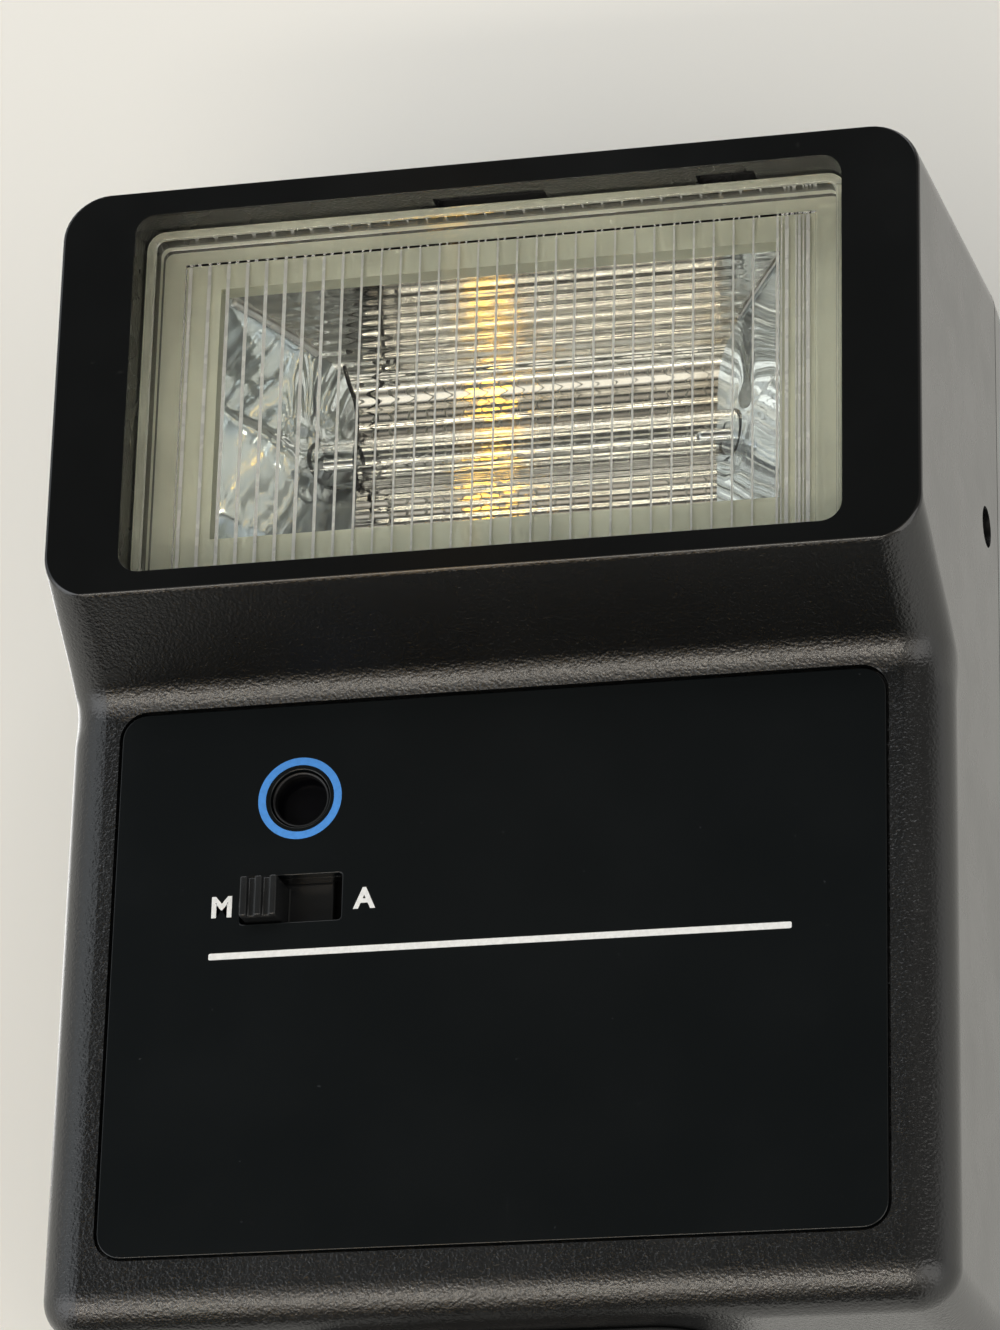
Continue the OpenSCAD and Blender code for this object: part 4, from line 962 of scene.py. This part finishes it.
def sensor_collar():
    """Ring round the sensor's hole, a little below the panel: a rounded rim turned about the hole's axis."""
    y = Y_LOW + COLLAR_DEEP
    profile = [(SENSOR_R - inset, y + depth) for inset, depth in COLLAR]
    rim = revolve("sensor_collar", (SENSOR_X, 0, SENSOR_Z), profile, closed=True)
    soften(rim, width=0.03)
    dress(rim, NODE_FINISH["sensor_tube"], "sensor_black")


def mode_knob():
    """Switch knob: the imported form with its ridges, its edges rounded."""
    knob = soften(cad_copy("mode_knob", "mode_knob_grip"), width=0.13, segments=3)
    dress(knob, KNOB, "knob_black", "mode_knob", body="mode_slider")


# Window, surround, reflector and tube

# Ribs: pitch, first place, half widths, height and numbers counted from the middle
RIB_PITCH = 1.512
RIB_START = 0.06
RIB_HALF = (0.075, 0.14)
RIB_DEPTH = 0.14
RIB_FIRST, RIB_LAST = -16, 14
RIB_ROOT = 0.03
# Close ribs at the field's right end: place across and half width
END_RIBS = (
    (21.55, 0.10), (21.85, 0.05), (22.25, 0.14), (22.95, 0.05), (23.2, 0.1), (23.5, 0.06), (23.85, 0.15),
)
# Where ribs go from wide to narrow
RIB_TAPER = (-15, -9)
# Ends of a rib: distance from the field's edge, and its share of the full section there
RIB_ENDS = ((0.02, 0.4), (0.15, 1.0))
RIB_SPAN = (1.6, 2.2)
FIELD_EDGE = 0.08
RIM_LEAST_R = 0.45
FIELD_HALF = 24.4
FIELD_STEP = 0.35
LENS_SOFT = 0.2
LENS_STAND_OFF = 0.06


def rib_levels():
    """Lowest and highest level of the ribbed field."""
    return LENS_LOW[2] + RIB_SPAN[0], LENS_HIGH[2] - RIB_SPAN[1]


def lens_tray():
    """Clear tray: a floor whose back stands out over the ribbed field, inside a rim with rounded edges.

    The floor is a row of upright sections, each with the field's step up and down. The rim is a section of
    (inset, depth) carried round the outline."""
    low = LENS_LOW
    high = LENS_HIGH - (0, LENS_STAND_OFF, 0)
    floor_y = low[1] + LENS_RIM_H
    edge = high[0] - LENS_RIM_W / 2
    x = np.array([-edge, -FIELD_HALF - FIELD_EDGE, -FIELD_HALF, FIELD_HALF, FIELD_HALF + FIELD_EDGE, edge])
    field_x = np.array([0, 0, 1, 1, 0, 0])
    z0, z1 = low[2] + LENS_RIM_W / 2, high[2] - LENS_RIM_W / 2
    first, last = rib_levels()
    z = np.array([z1, last + FIELD_EDGE, last, first, first - FIELD_EDGE, z0])
    field_z = np.array([0, 0, 1, 1, 0, 0])
    rings = np.zeros((len(x), len(z) + 2, 3))
    rings[..., 0] = x[:, None]
    rings[:, :2, 1] = floor_y
    rings[:, 0, 2] = z0
    rings[:, 1, 2] = z1
    rings[:, 2:, 1] = high[1] - RIB_DEPTH - FIELD_STEP * (1 - field_x[:, None] * field_z)
    rings[:, 2:, 2] = z
    tray = loft("window_tray", rings)
    bend = turn(6)
    soft = LENS_SOFT
    inset = [[0], soft * (1 - np.cos(bend)), LENS_RIM_W - soft * (1 - np.sin(bend)), [LENS_RIM_W]]
    inset = np.concatenate(inset)
    depth = np.concatenate([[0], soft * (1 - np.sin(bend)), soft * (1 - np.cos(bend)), [0]]) + low[1]
    depth[[0, -1]] = high[1]
    loops = []
    for step, y in zip(inset, depth):
        r = max(WINDOW_R - SEAT_GAP - step, RIM_LEAST_R)
        loops.append(at_depth(face_outline(low, high, r, -step), y))
    around = len(loops[0])
    loops = np.array(loops + [loops[0]])
    rim = weld(new_object("rim", loops.reshape(-1, 3), grid_faces(len(loops), around, True)))
    carve(tray, rim, how="UNION")
    shade_smooth(weld(tray, gap=0.001), crease=38)
    dress(tray, CLEAR, "window_clear", "flash_window")


def lens_ribs():
    """Upright ribs on the floor's back: half ellipses carried up the field, drawn in at both ends.

    They are wider towards the left, and stand close together where the field ends at the right."""
    place = RIB_START + RIB_PITCH * np.arange(RIB_FIRST, RIB_LAST)
    half = np.interp(place, RIB_TAPER, RIB_HALF[::-1])
    place = np.append(place, [bar[0] for bar in END_RIBS])
    half = np.append(half, [bar[1] for bar in END_RIBS])
    angle = np.linspace(0, np.pi, 11)
    first, last = rib_levels()
    (tip, tip_share), (full, full_share) = RIB_ENDS
    z = np.array([first + tip, first + full, last - full, last - tip])
    draw = np.array([tip_share, full_share, full_share, tip_share])
    base = LENS_HIGH[1] - LENS_STAND_OFF - RIB_DEPTH
    points = np.zeros((len(place), len(z), len(angle), 3))
    across_it = (half[:, None] * draw)[..., None] * np.cos(angle)
    points[..., 0] = place[:, None, None] + across_it
    points[..., 1] = base - RIB_ROOT + (RIB_DEPTH + RIB_ROOT) * draw[:, None] * np.sin(angle)
    points[..., 2] = z[:, None]
    count = len(z) * len(angle)
    ends = [np.arange(len(angle)), np.arange(count - len(angle), count)]
    one = [list(face) for face in grid_faces(len(z), len(angle), True)] + [list(end) for end in ends]
    faces = [[v + count * i for v in face] for i in range(len(place)) for face in one]
    ribs = weld(new_object("window_ribs", points.reshape(-1, 3), faces), gap=0.0005)
    # The ribs' near-white finish is a painted highlight in place of refraction through clear ribs
    dress(shade_smooth(ribs, crease=60), RIBS_PAINTED_HIGHLIGHT, "window_clear")


# Silver trough: half width and half height of its mouth, its depth, and how square its section is
MOUTH = (21.7, 10.4)
MOUTH_R = 0.3
BOWL_D = 12.0
BOWL_POWER = 8.0
BOWL_ROWS = 461
BOWL_COLUMNS = 49
LIP_T = 0.3
SHEET_T = 0.2
# Ripples rolled into it, finer in the low part, whose share grows over a span below a height; they fade
# towards the lips by a power
RIPPLE = 0.055
RIPPLE_PITCH = 1.35
FINE_RIPPLE = 0.06
FINE_PITCH = 1.0
LOW_PART = 0.3
LOW_SPAN = 0.25
RIPPLE_FADE = 12
# Swell of the ripples along the trough: share, pitch, wander of its phase, and shift up the section
SWELL = 0.06
SWELL_PITCH = 5.3
SWELL_WANDER = (1.3, 0.31)
SWELL_SHIFT = 9
# Bend of the bowl across: height, turn and shift
BEND = (0.02, 2.4, 1.0)
# End walls: lean with depth, lap over the bowl, rows, columns, how near they come to its floor, and how
# their dents fade towards the edges
END_LEAN = 0.62
END_LAP = 0.15
END_ROWS = 61
END_COLUMNS = 81
END_FLOOR = 0.998
END_FADE = 10
END_EDGE = 0.02
# Dents in them: height, turn with height and with depth, and shift by side
DENTS = ((0.03, 0.6, 0.4, 1), (0.008, -0.7, 1.1, 2), (0.002, 3.1, 2.3, 0))
# Puckered ring round the tube's hole: height, radius and width
PUCKER = (0.2, 3.1, 0.7)
# Split from the tube to the lip: step, start ahead of the tube, level above it, climb, and softness of both
SPLIT = 0.35
SPLIT_START = 2.5
SPLIT_LEVEL = 0.6
SPLIT_CLIMB = 0.05
SPLIT_SOFT = (0.3, 0.12)


def bowl_depth(v):
    """Depth of the trough at height v, from -1 to 1 up the mouth: flat at the back, steep at the lips."""
    return Y_LEDGE + BOWL_D * (1 - np.abs(v)**BOWL_POWER)


def end_place(y):
    """How far out an end wall stands at depth y: it leans in with depth."""
    return MOUTH[0] - END_LEAN * (y - Y_LEDGE)


def sheets(name, grids):
    """One object of thin walls: a sheet through each grid of points, SHEET_T thick behind its face."""
    points = np.concatenate([grid.reshape(-1, 3) for grid in grids])
    first = np.cumsum([0] + [grid.shape[0] * grid.shape[1] for grid in grids])
    faces = np.concatenate([grid_faces(*grid.shape[:2]) + start for grid, start in zip(grids, first)])
    obj = new_object(name, points, faces)
    wall = obj.modifiers.new("wall", "SOLIDIFY")
    wall.thickness = SHEET_T * MM
    wall.offset = -1
    settle(obj)
    return shade_smooth(obj, crease=50)


def step_up(x):
    """Soft step from 0 to 1 as x passes 0."""
    return 1 / (1 + np.exp(-x))


def reflector():
    """Pressed silver trough: a steep-sided bowl section carried across, closed by two leaning end walls.

    The bowl is rolled into fine ripples, a sine of the length along its section whose height swells a little
    along the trough. The end walls have dents, sums of sines of the place, a split from the tube to the lip
    and a puckered ring round the tube's hole."""
    v = np.sin(np.linspace(-1, 1, BOWL_ROWS) * np.pi / 2)
    y = bowl_depth(v)
    z = Z_WIN + MOUTH[1] * v
    step_y, step_z = np.gradient(y), np.gradient(z)
    step = np.hypot(step_y, step_z)
    along = np.cumsum(step)
    low_part = np.clip((LOW_PART - v) / LOW_SPAN, 0, 1)
    ripple = RIPPLE * np.sin(2 * np.pi * along / RIPPLE_PITCH) * (1 - low_part)
    ripple += FINE_RIPPLE * np.sin(2 * np.pi * along / FINE_PITCH) * low_part
    ripple *= 1 - v**RIPPLE_FADE
    u = np.linspace(-1, 1, BOWL_COLUMNS)[None, :]
    place = u * MOUTH[0]
    wander = SWELL_WANDER[0] * np.sin(SWELL_WANDER[1] * place)
    swell = 1 + SWELL * np.sin(2 * np.pi * place / SWELL_PITCH + wander + SWELL_SHIFT * v[:, None])
    ripple = ripple[:, None] * swell
    bend = BEND[0] * np.sin(BEND[1] * u + BEND[2])
    y = y[:, None] - ripple * (step_z / step)[:, None] + bend
    z = z[:, None] + ripple * (step_y / step)[:, None]
    x = u * (end_place(y) + END_LAP)
    bowl = sheets("reflector_bowl", [np.stack([x, y, z], -1)])
    walls = []
    t = np.linspace(0, 1, END_ROWS)[:, None]
    s = np.linspace(-1, 1, END_COLUMNS)[None, :]
    height, ring_r, ring_w = PUCKER
    for side in (-1, 1):
        y = Y_LEDGE + BOWL_D * t + 0 * s
        z = Z_WIN + MOUTH[1] * s * (1 - np.minimum(t, END_FLOOR))**(1 / BOWL_POWER)
        ahead, above = TUBE[1] - y, z - TUBE[2]
        dent = sum(deep * np.sin(up * z + back * y + shift * side) for deep, up, back, shift in DENTS)
        angle = np.arctan2(above, -ahead)
        ring = np.exp(-((np.hypot(ahead, above) - ring_r) / ring_w)**2)
        dent += height * ring * np.sin(5 * angle + 0.8 * np.sin(3 * angle))
        split = step_up((ahead - SPLIT_START) / SPLIT_SOFT[0])
        dent += SPLIT * split * step_up((above - SPLIT_LEVEL - SPLIT_CLIMB * ahead) / SPLIT_SOFT[1])
        fade = np.sin(np.pi * (t * (1 - END_EDGE) + END_EDGE)) * (1 - np.abs(s)**END_FADE)
        x = side * (end_place(y) + dent * fade)
        walls.append(np.stack([x, y, z], -1)[:, ::side])
    # The end walls' blue-white, hazier silver is a painted reflection, not a different metal
    dress(sheets("reflector_ends", walls), END_SILVER_PAINTED_REFLECTION, "reflector_silver")
    outline = face_outline(BOWL_LOW, BOWL_HIGH, WINDOW_R)
    lip = prism("reflector_lip", outline, Y_LEDGE, Y_LEDGE + LIP_T)
    mouth = rounded_outline((-MOUTH[0], Z_WIN - MOUTH[1]), (MOUTH[0], Z_WIN + MOUTH[1]), MOUTH_R, 4)
    carve(lip, prism("mouth", mouth, Y_LEDGE - PAST, Y_LEDGE + PAST))
    dress(lip, SILVER, "reflector_silver")
    dress(bowl, SILVER, "reflector_silver", "reflector")


# Beads in the trough's upper corners: depth at the start, share of the depth at the end, insets, and
# each bead's side, name and radius
BEAD_START = 0.35
BEAD_END = 0.66
BEAD_IN = 0.1
BEAD_DROP = 0.2
BEADS = ((-1, "left_bead", 0.27), (1, "right_bead", 0.1))
# Wire round the tube: radius, way down from the roof, then place, pitch and gap of its one turn
WIRE_R = 0.17
WIRE_DOWN = ((-14.6, -6.5, 88.0), (-14.1, -6.8, 86.4), (-13.6, -6.2, 84.6))
WIRE_X = -13.9
WIRE_PITCH = 0.12
WIRE_GAP = 0.25
TUBE_WALL = 0.45
# Metal tips in the tube: radius, and how far out they start and end
TIP_R = 0.55
TIP_SPAN = (13.2, 22.0)
# Least radius at a pole of a turned form
POLE_R = 1e-3


def corner_beads():
    """Rolled seams where the trough's roof meets its end walls: round beads along the curve of the corner."""
    y = np.linspace(Y_LEDGE + BEAD_START, Y_LEDGE + BEAD_END * BOWL_D, 24)
    v = (1 - (y - Y_LEDGE) / BOWL_D)**(1 / BOWL_POWER)
    z = Z_WIN + MOUTH[1] * v - BEAD_DROP
    for side, name, r in BEADS:
        path = np.stack([side * (end_place(y) - BEAD_IN), y, z], -1)
        bead = swept_wire("reflector_" + name, path, r)
        # The bead's near-white finish is a painted highlight along the rolled seam
        dress(shade_smooth(bead), SEAM_PAINTED_HIGHLIGHT, "reflector_silver")


def trigger_wire():
    """Thin dark wire that runs down from the bowl's roof, once round the tube near its left end, and off."""
    r = TUBE_R + WIRE_GAP
    angle = np.linspace(0.5, 2.5, 15) * np.pi
    x = WIRE_X + WIRE_PITCH * angle
    coil = np.stack([x, TUBE[1] - r * np.cos(angle), TUBE[2] + r * np.sin(angle)], -1)
    down = smooth_path([*WIRE_DOWN, coil[0]], 24)
    dress(swept_wire("trigger_wire", np.vstack([down[:-1], coil]), WIRE_R), KNOB, "lead_red")


def tube_glass():
    """Flash tube: a hollow glass tube, a ring section turned about the tube's axis."""
    inner = TUBE_R - TUBE_WALL
    x0, x1 = TUBE_LOW[0], TUBE_HIGH[0]
    profile = [(TUBE_R, x0), (TUBE_R, x1), (inner, x1), (inner, x0)]
    tube = revolve("flash_tube_glass", TUBE, profile, axis=0, closed=True)
    dress(soften(tube, width=0.08), GLASS, "tube_glass", "flash_tube")


def electrodes():
    """Metal tips inside the tube's ends: short rods with a round nose, turned about the tube's axis."""
    nose = turn(7)
    start, end = TIP_SPAN
    for side, name in ((-1, "tube_cathode"), (1, "tube_anode")):
        along = side * (start + TIP_R - TIP_R * np.cos(nose))
        profile = [*zip(TIP_R * np.sin(nose) + POLE_R, along), (TIP_R, end * side)]
        rod = revolve(name, TUBE, profile, axis=0, steps=32)
        dress(soften(rod, width=0.05), STEEL, "bright_metal")


# Rear controls and label


def power_knob():
    """Power switch's knob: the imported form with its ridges, its edges rounded."""
    knob = soften(cad_copy("power_knob", "power_knob_grip"), width=0.16, segments=3)
    dress(knob, KNOB, "knob_black", "power_knob", body="power_slider")


# Button's rim, and its dish: share of the radius, and depth
RIM_R = 0.45
DISH_SHARE = 0.8
DISH_DEEP = 0.35


def test_button():
    """Round button: a dished face and rounded rim over a straight side on a flange, turned about an axis."""
    y0, y1 = BUTTON_LOW[1], BUTTON_HIGH[1]
    flange_r = (BUTTON_HIGH[0] - BUTTON_LOW[0]) / 2
    rim = turn(8)
    dish = np.linspace(DISH_SHARE, 0.02, 9)
    shoulder = Y_REAR_IN - SLIDE_GAP
    profile = [(POLE_R, y0), (flange_r, y0), (flange_r, shoulder), (BUTTON_R, shoulder)]
    profile += [*zip(BUTTON_R - RIM_R * (1 - np.cos(rim)), y1 - RIM_R * (1 - np.sin(rim)))]
    profile += [*zip(dish * BUTTON_R, y1 - DISH_DEEP * (1 - (dish / DISH_SHARE)**2))]
    button = revolve("test_button_cap", BUTTON, profile)
    dress(soften(button, width=0.08), RED, "button_red", "test_button", body="test_key")


def ready_window():
    """Ready lamp's window: a low dome with a rounded edge on a flange, turned about its axis."""
    y0, y1 = READY_LOW[1], READY_HIGH[1]
    flange_r = (READY_HIGH[0] - READY_LOW[0]) / 2
    rise = y1 - Y_REAR
    dome = np.linspace(1, 0.01, 14)
    profile = [(POLE_R, y0), (flange_r, y0), (flange_r, Y_REAR_IN), (READY_R, Y_REAR_IN), (READY_R, Y_REAR)]
    profile += [*zip(dome * READY_R, Y_REAR + rise * np.sqrt(1 - dome**2))]
    window = revolve("ready_dome", READY, profile)
    dress(soften(window, width=0.05), ORANGE, "ready_orange", "ready_window")


FILM = (25, 50, 100, 200, 400)
METRES = ("1", "1.4", "2", "2.8", "4", "5.6")
STOPS = ("1.4", "2", "2.8", "4", "5.6", "8", "11", "16", "22", "32")
STOP_AT_FIRST = 5
TABLE_MARGIN = 1.6
TABLE_TEXT = 1.5
RULE_HALF = 0.09
# Words over the power switch: rise above its knob, and how far ON stands past the knob's end place
POWER_RISE = 2.2
ON_PAST = 1.6


def exposure_table():
    """Label with a printed table: film speed down its side, distance along the top, a lens stop in a cell."""
    outline = face_outline(LABEL_LOW, LABEL_HIGH, PANEL_R)
    plate = soften(prism("rear_label_plate", outline, LABEL_LOW[1], LABEL_HIGH[1]), PANEL_SOFT)
    dress(plate, LABEL, "rear_label", "rear_panel")
    x0, x1 = LABEL_LOW[0] + TABLE_MARGIN, LABEL_HIGH[0] - TABLE_MARGIN
    z0, z1 = LABEL_LOW[2] + TABLE_MARGIN, LABEL_HIGH[2] - TABLE_MARGIN
    columns = np.linspace(x1, x0, len(METRES) + 2)
    rows = np.linspace(z1, z0, len(FILM) + 2)
    middle_x = (columns[1:] + columns[:-1]) / 2
    middle_z = (rows[1:] + rows[:-1]) / 2
    words = [("ISO", middle_x[0], middle_z[0], TABLE_TEXT)]
    words += [(text, x, middle_z[0], TABLE_TEXT) for text, x in zip(METRES, middle_x[1:])]
    for i, speed in enumerate(FILM):
        words.append((str(speed), middle_x[0], middle_z[i + 1], TABLE_TEXT))
        for k in range(len(METRES)):
            stop = STOP_AT_FIRST + i - k
            if 0 <= stop < len(STOPS):
                words.append((STOPS[stop], middle_x[k + 1], middle_z[i + 1], TABLE_TEXT))
    dress(lettering("table_numbers", words, 1), WHITE, "rear_label")
    bars = [(x0, rows[1] - RULE_HALF, x1, rows[1] + RULE_HALF)]
    bars += [(columns[1] - RULE_HALF, z0, columns[1] + RULE_HALF, z1)]
    bars += [(x0, z - RULE_HALF / 2, x1, z + RULE_HALF / 2) for z in rows[2:-1]]
    ink_in, ink_out = Y_REAR - INK_IN, Y_REAR + INK_OUT
    rules = [box("rule", (a, ink_in, c), (b, ink_out, d)) for a, c, b, d in bars]
    lines = rules[0]
    carve(lines, *rules[1:], how="UNION")
    lines.name = "table_rules"
    dress(lines, WHITE, "rear_label")
    x, z = POWER[0], POWER[2] + POWER_H / 2 + POWER_RISE
    words = [("OFF", x, z, TABLE_TEXT), ("ON", x + POWER_TRAVEL + ON_PAST, z, TABLE_TEXT)]
    dress(lettering("power_letters", words, 1), WHITE, "shell_black")


# Foot


# Foot's nodes, and how far their edges are rounded
FOOT_EDGES = (("foot_block", 0.5), ("foot_neck", 0.12), ("foot_plate", 0.22))


def foot():
    """Foot block, neck and plate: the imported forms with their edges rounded."""
    for node, width in FOOT_EDGES:
        moulding = soften(cad_copy(node, node + "_moulding"), width, segments=3)
        dress(moulding, FOOT, "foot_black", node)


SPRING_WIRE_R = 0.18
SPRING_TURNS = 6


def shoe_spring():
    """Coil spring on the pin's stem: a circle carried up a helix that lies flat for a turn at both ends."""
    low, high = corners("pin_spring")
    middle = (low + high) / 2
    r = (high[0] - low[0]) / 2 - SPRING_WIRE_R
    turns = np.linspace(0, SPRING_TURNS, 36 * SPRING_TURNS + 1)
    pitch = 2 * SPRING_WIRE_R
    first, last = low[2] + SPRING_WIRE_R, high[2] - SPRING_WIRE_R
    levels = (first, first + pitch, last - pitch, last)
    rise = np.interp(turns, (0, 1, SPRING_TURNS - 1, SPRING_TURNS), levels)
    angle = 2 * np.pi * turns
    path = np.stack([middle[0] + r * np.cos(angle), middle[1] + r * np.sin(angle), rise], -1)
    coil = shade_smooth(swept_wire("shoe_spring", path, SPRING_WIRE_R))
    dress(coil, STEEL, "spring_steel", "pin_spring")
    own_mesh(coil)


# Stage, light and camera


SENSOR_W = 36.0
FOCAL = 138.64
# Degrees round the flash, above its level and about the view, then the point looked at and its distance
CAMERA_ANGLES = (14.10, -21.76, 1.41)
CAMERA_TARGET = (2.214, -22.0, 55.93)
CAMERA_REACH = 368.96


def make_camera():
    """Camera below and to the right of the flash, as the photograph was taken."""
    data = bpy.data.cameras.new("camera")
    data.sensor_width = SENSOR_W
    data.lens = FOCAL
    data.clip_start = 0.01
    cam = bpy.data.objects.new("camera", data)
    bpy.context.scene.collection.objects.link(cam)
    azimuth, elevation, roll = (math.radians(angle) for angle in CAMERA_ANGLES)
    level = math.cos(elevation)
    back = Vector((math.sin(azimuth) * level, -math.cos(azimuth) * level, math.sin(elevation)))
    cam.location = Vector(CAMERA_TARGET) * MM + back * CAMERA_REACH * MM
    cam.rotation_mode = "QUATERNION"
    cam.rotation_quaternion = back.to_track_quat("Z", "Y") @ Quaternion((0, 0, 1), roll)
    bpy.context.scene.camera = cam


def soft_box(name, place, aim, size, radiance, colour):
    """Oblong lamp of a given radiance that faces a point; places and sizes are in millimetres."""
    data = bpy.data.lights.new(name, "AREA")
    data.shape = "RECTANGLE"
    data.size = size[0] * MM
    data.size_y = size[1] * MM
    data.energy = radiance * math.pi * data.size * data.size_y
    data.color = colour
    lamp = bpy.data.objects.new(name, data)
    lamp.location = Vector(place) * MM
    lamp.rotation_euler = (lamp.location - Vector(aim) * MM).to_track_quat("Z", "Y").to_euler()
    bpy.context.scene.collection.objects.link(lamp)


BACKDROP = (0.72, 0.69, 0.62)
TABLE_SEEN = (0.82, 0.80, 0.74)
TABLE_SIDE = ((0, 1, 0), 90, 78)
ROOM_LIGHT = (1.0, 0.985, 0.95)
# Patches over the room's light: direction, angles where the patch begins and is full, and its light
ROOM_PATCHES = (
    ((0, -1, 0), 100, 55, (0.20, 0.19, 0.175)),
    ((0, -0.75, -0.66), 52, 30, (0.52, 0.475, 0.41)),
    ((-0.62, -0.70, 0.35), 34, 18, (0.98, 1.04, 1.08)),
    ((-0.62, -0.70, -0.36), 32, 16, (0.95, 0.99, 1.02)),
    ((-0.226, -0.915, 0.33), 26, 13, (0.07, 0.07, 0.066)),
    ((-0.23, 0.06, -0.97), 38, 22, (0.015, 0.015, 0.015)),
    ((-0.226, -0.74, -0.63), 27, 12, (1.45, 1.37, 1.24)),
    ((-0.1, 0.97, -0.2), 38, 15, (0.35, 0.345, 0.33)),
)


def room():
    """World: a pale backdrop for the camera, and for other rays a soft room, dimmer ahead of the flat front.

    Metal and glass see the table's own tone on the side where the table lies."""
    world = bpy.data.worlds.new("room")
    bpy.context.scene.world = world
    world.use_nodes = True
    n = Nodes(world.node_tree)
    way = n.add("ShaderNodeTexCoord").outputs["Generated"]

    def patch(direction, outer, inner):
        """1 within the inner angle from a direction, and 0 beyond the outer one."""
        dot = n.add("ShaderNodeVectorMath", operation="DOT_PRODUCT")
        n.feed(dot, _0=way, _1=Vector(direction).normalized())
        begin, full = (math.cos(math.radians(angle)) for angle in (outer, inner))
        return n.span(dot.outputs["Value"], begin, full)

    light = ROOM_LIGHT
    for direction, outer, inner, colour in ROOM_PATCHES:
        light = n.mix(patch(direction, outer, inner), light, colour)
    rays = n.add("ShaderNodeLightPath").outputs
    behind = patch(*TABLE_SIDE)
    for ray in ("Is Glossy Ray", "Is Transmission Ray"):
        light = n.mix(n.math("MULTIPLY", rays[ray], behind), light, TABLE_SEEN)
    n.feed(n.tree.nodes["Background"], _0=n.mix(rays["Is Camera Ray"], light, BACKDROP))


TABLE_GAP = 1.6
TABLE_REACH = 1500
TABLE_TONES = (0.80, 0.785, 0.74), (0.775, 0.765, 0.725)


def table_top():
    """Pale table that the flash lies on with its back: one flat sheet, seen only from the front side."""
    y, reach = Y_REAR + TABLE_GAP, TABLE_REACH
    sheet = [(-reach, y, -reach), (reach, y, -reach), (reach, y, reach), (-reach, y, reach)]
    plane = new_object("table_top", sheet, [(0, 1, 2, 3)])
    f = Finish("table_paper", BACKDROP, 0.8)
    tone = f.noise(9, 3, 0.5)
    f.colour(f.mix(tone, *TABLE_TONES))
    facing = f.add("ShaderNodeNewGeometry").outputs["Backfacing"]
    clear = f.add("ShaderNodeBsdfTransparent")
    shader = f.add("ShaderNodeMixShader")
    f.feed(shader, _0=facing, _1=f.shader.outputs[0], _2=clear.outputs[0])
    f.feed(f.tree.nodes["Material Output"], _0=shader.outputs[0])
    plane.data.materials.append(f.material)
    plane.visible_diffuse = False
    plane.visible_glossy = False
    plane.visible_transmission = False
    plane.visible_shadow = False


WARM_MIDDLE = (-101.0, -3.0, 84.0)
WARM_R = 430.0
WARM_STRIP = (3.4, 128.0)
WARM_COLOUR = (1.0, 0.52, 0.0)
# Angle of each strip above the level, and its radiance
WARM_STRIPS = ((20, 0.35), (-14, 8.0), (-31, 8.0), (-48, 8.0), (-65, 8.0))


def warm_strip():
    """Narrow warm lamp that leaves an upright streak in the trough: strips along an upright arc round it."""
    x, y, z = WARM_MIDDLE
    for number, (tilt, radiance) in enumerate(WARM_STRIPS):
        rise = math.radians(tilt)
        place = (x, y - WARM_R * math.cos(rise), z + WARM_R * math.sin(rise))
        soft_box(f"warm_strip_{number}", place, WARM_MIDDLE, WARM_STRIP, radiance, WARM_COLOUR)


# Lamps: name, place, point faced, width and height, radiance, colour
LAMPS = (
    ("top_light", (-60, -420, 820), (0, -5, 50), (900, 700), 2.0, (0.98, 0.99, 1.0)),
    ("right_light", (560, -470, -230), (0, -10, 50), (700, 600), 1.35, (1.0, 0.98, 0.95)),
    ("left_light", (-640, -420, -230), (0, -10, 50), (700, 600), 1.2, (0.98, 0.99, 1.0)),
    ("near_lamp", (-110, -470, -300), (-110, -15, 50), (360, 40), 13.0, (1.0, 0.93, 0.82)),
    ("rear_light", (-330, 520, 460), (0, 10, 50), (520, 520), 2.2, (1, 1, 1)),
)

make_camera()
room()
table_top()
for lamp in LAMPS:
    soft_box(*lamp)
warm_strip()

finish_nodes()
front_shell()
front_panel()
sensor_collar()
mode_knob()
lens_tray()
lens_ribs()
reflector()
corner_beads()
tube_glass()
trigger_wire()
electrodes()
rear_shell()
battery_door()
power_knob()
test_button()
ready_window()
exposure_table()
foot()
shoe_spring()

bpy.context.scene.view_settings.view_transform = "Standard"
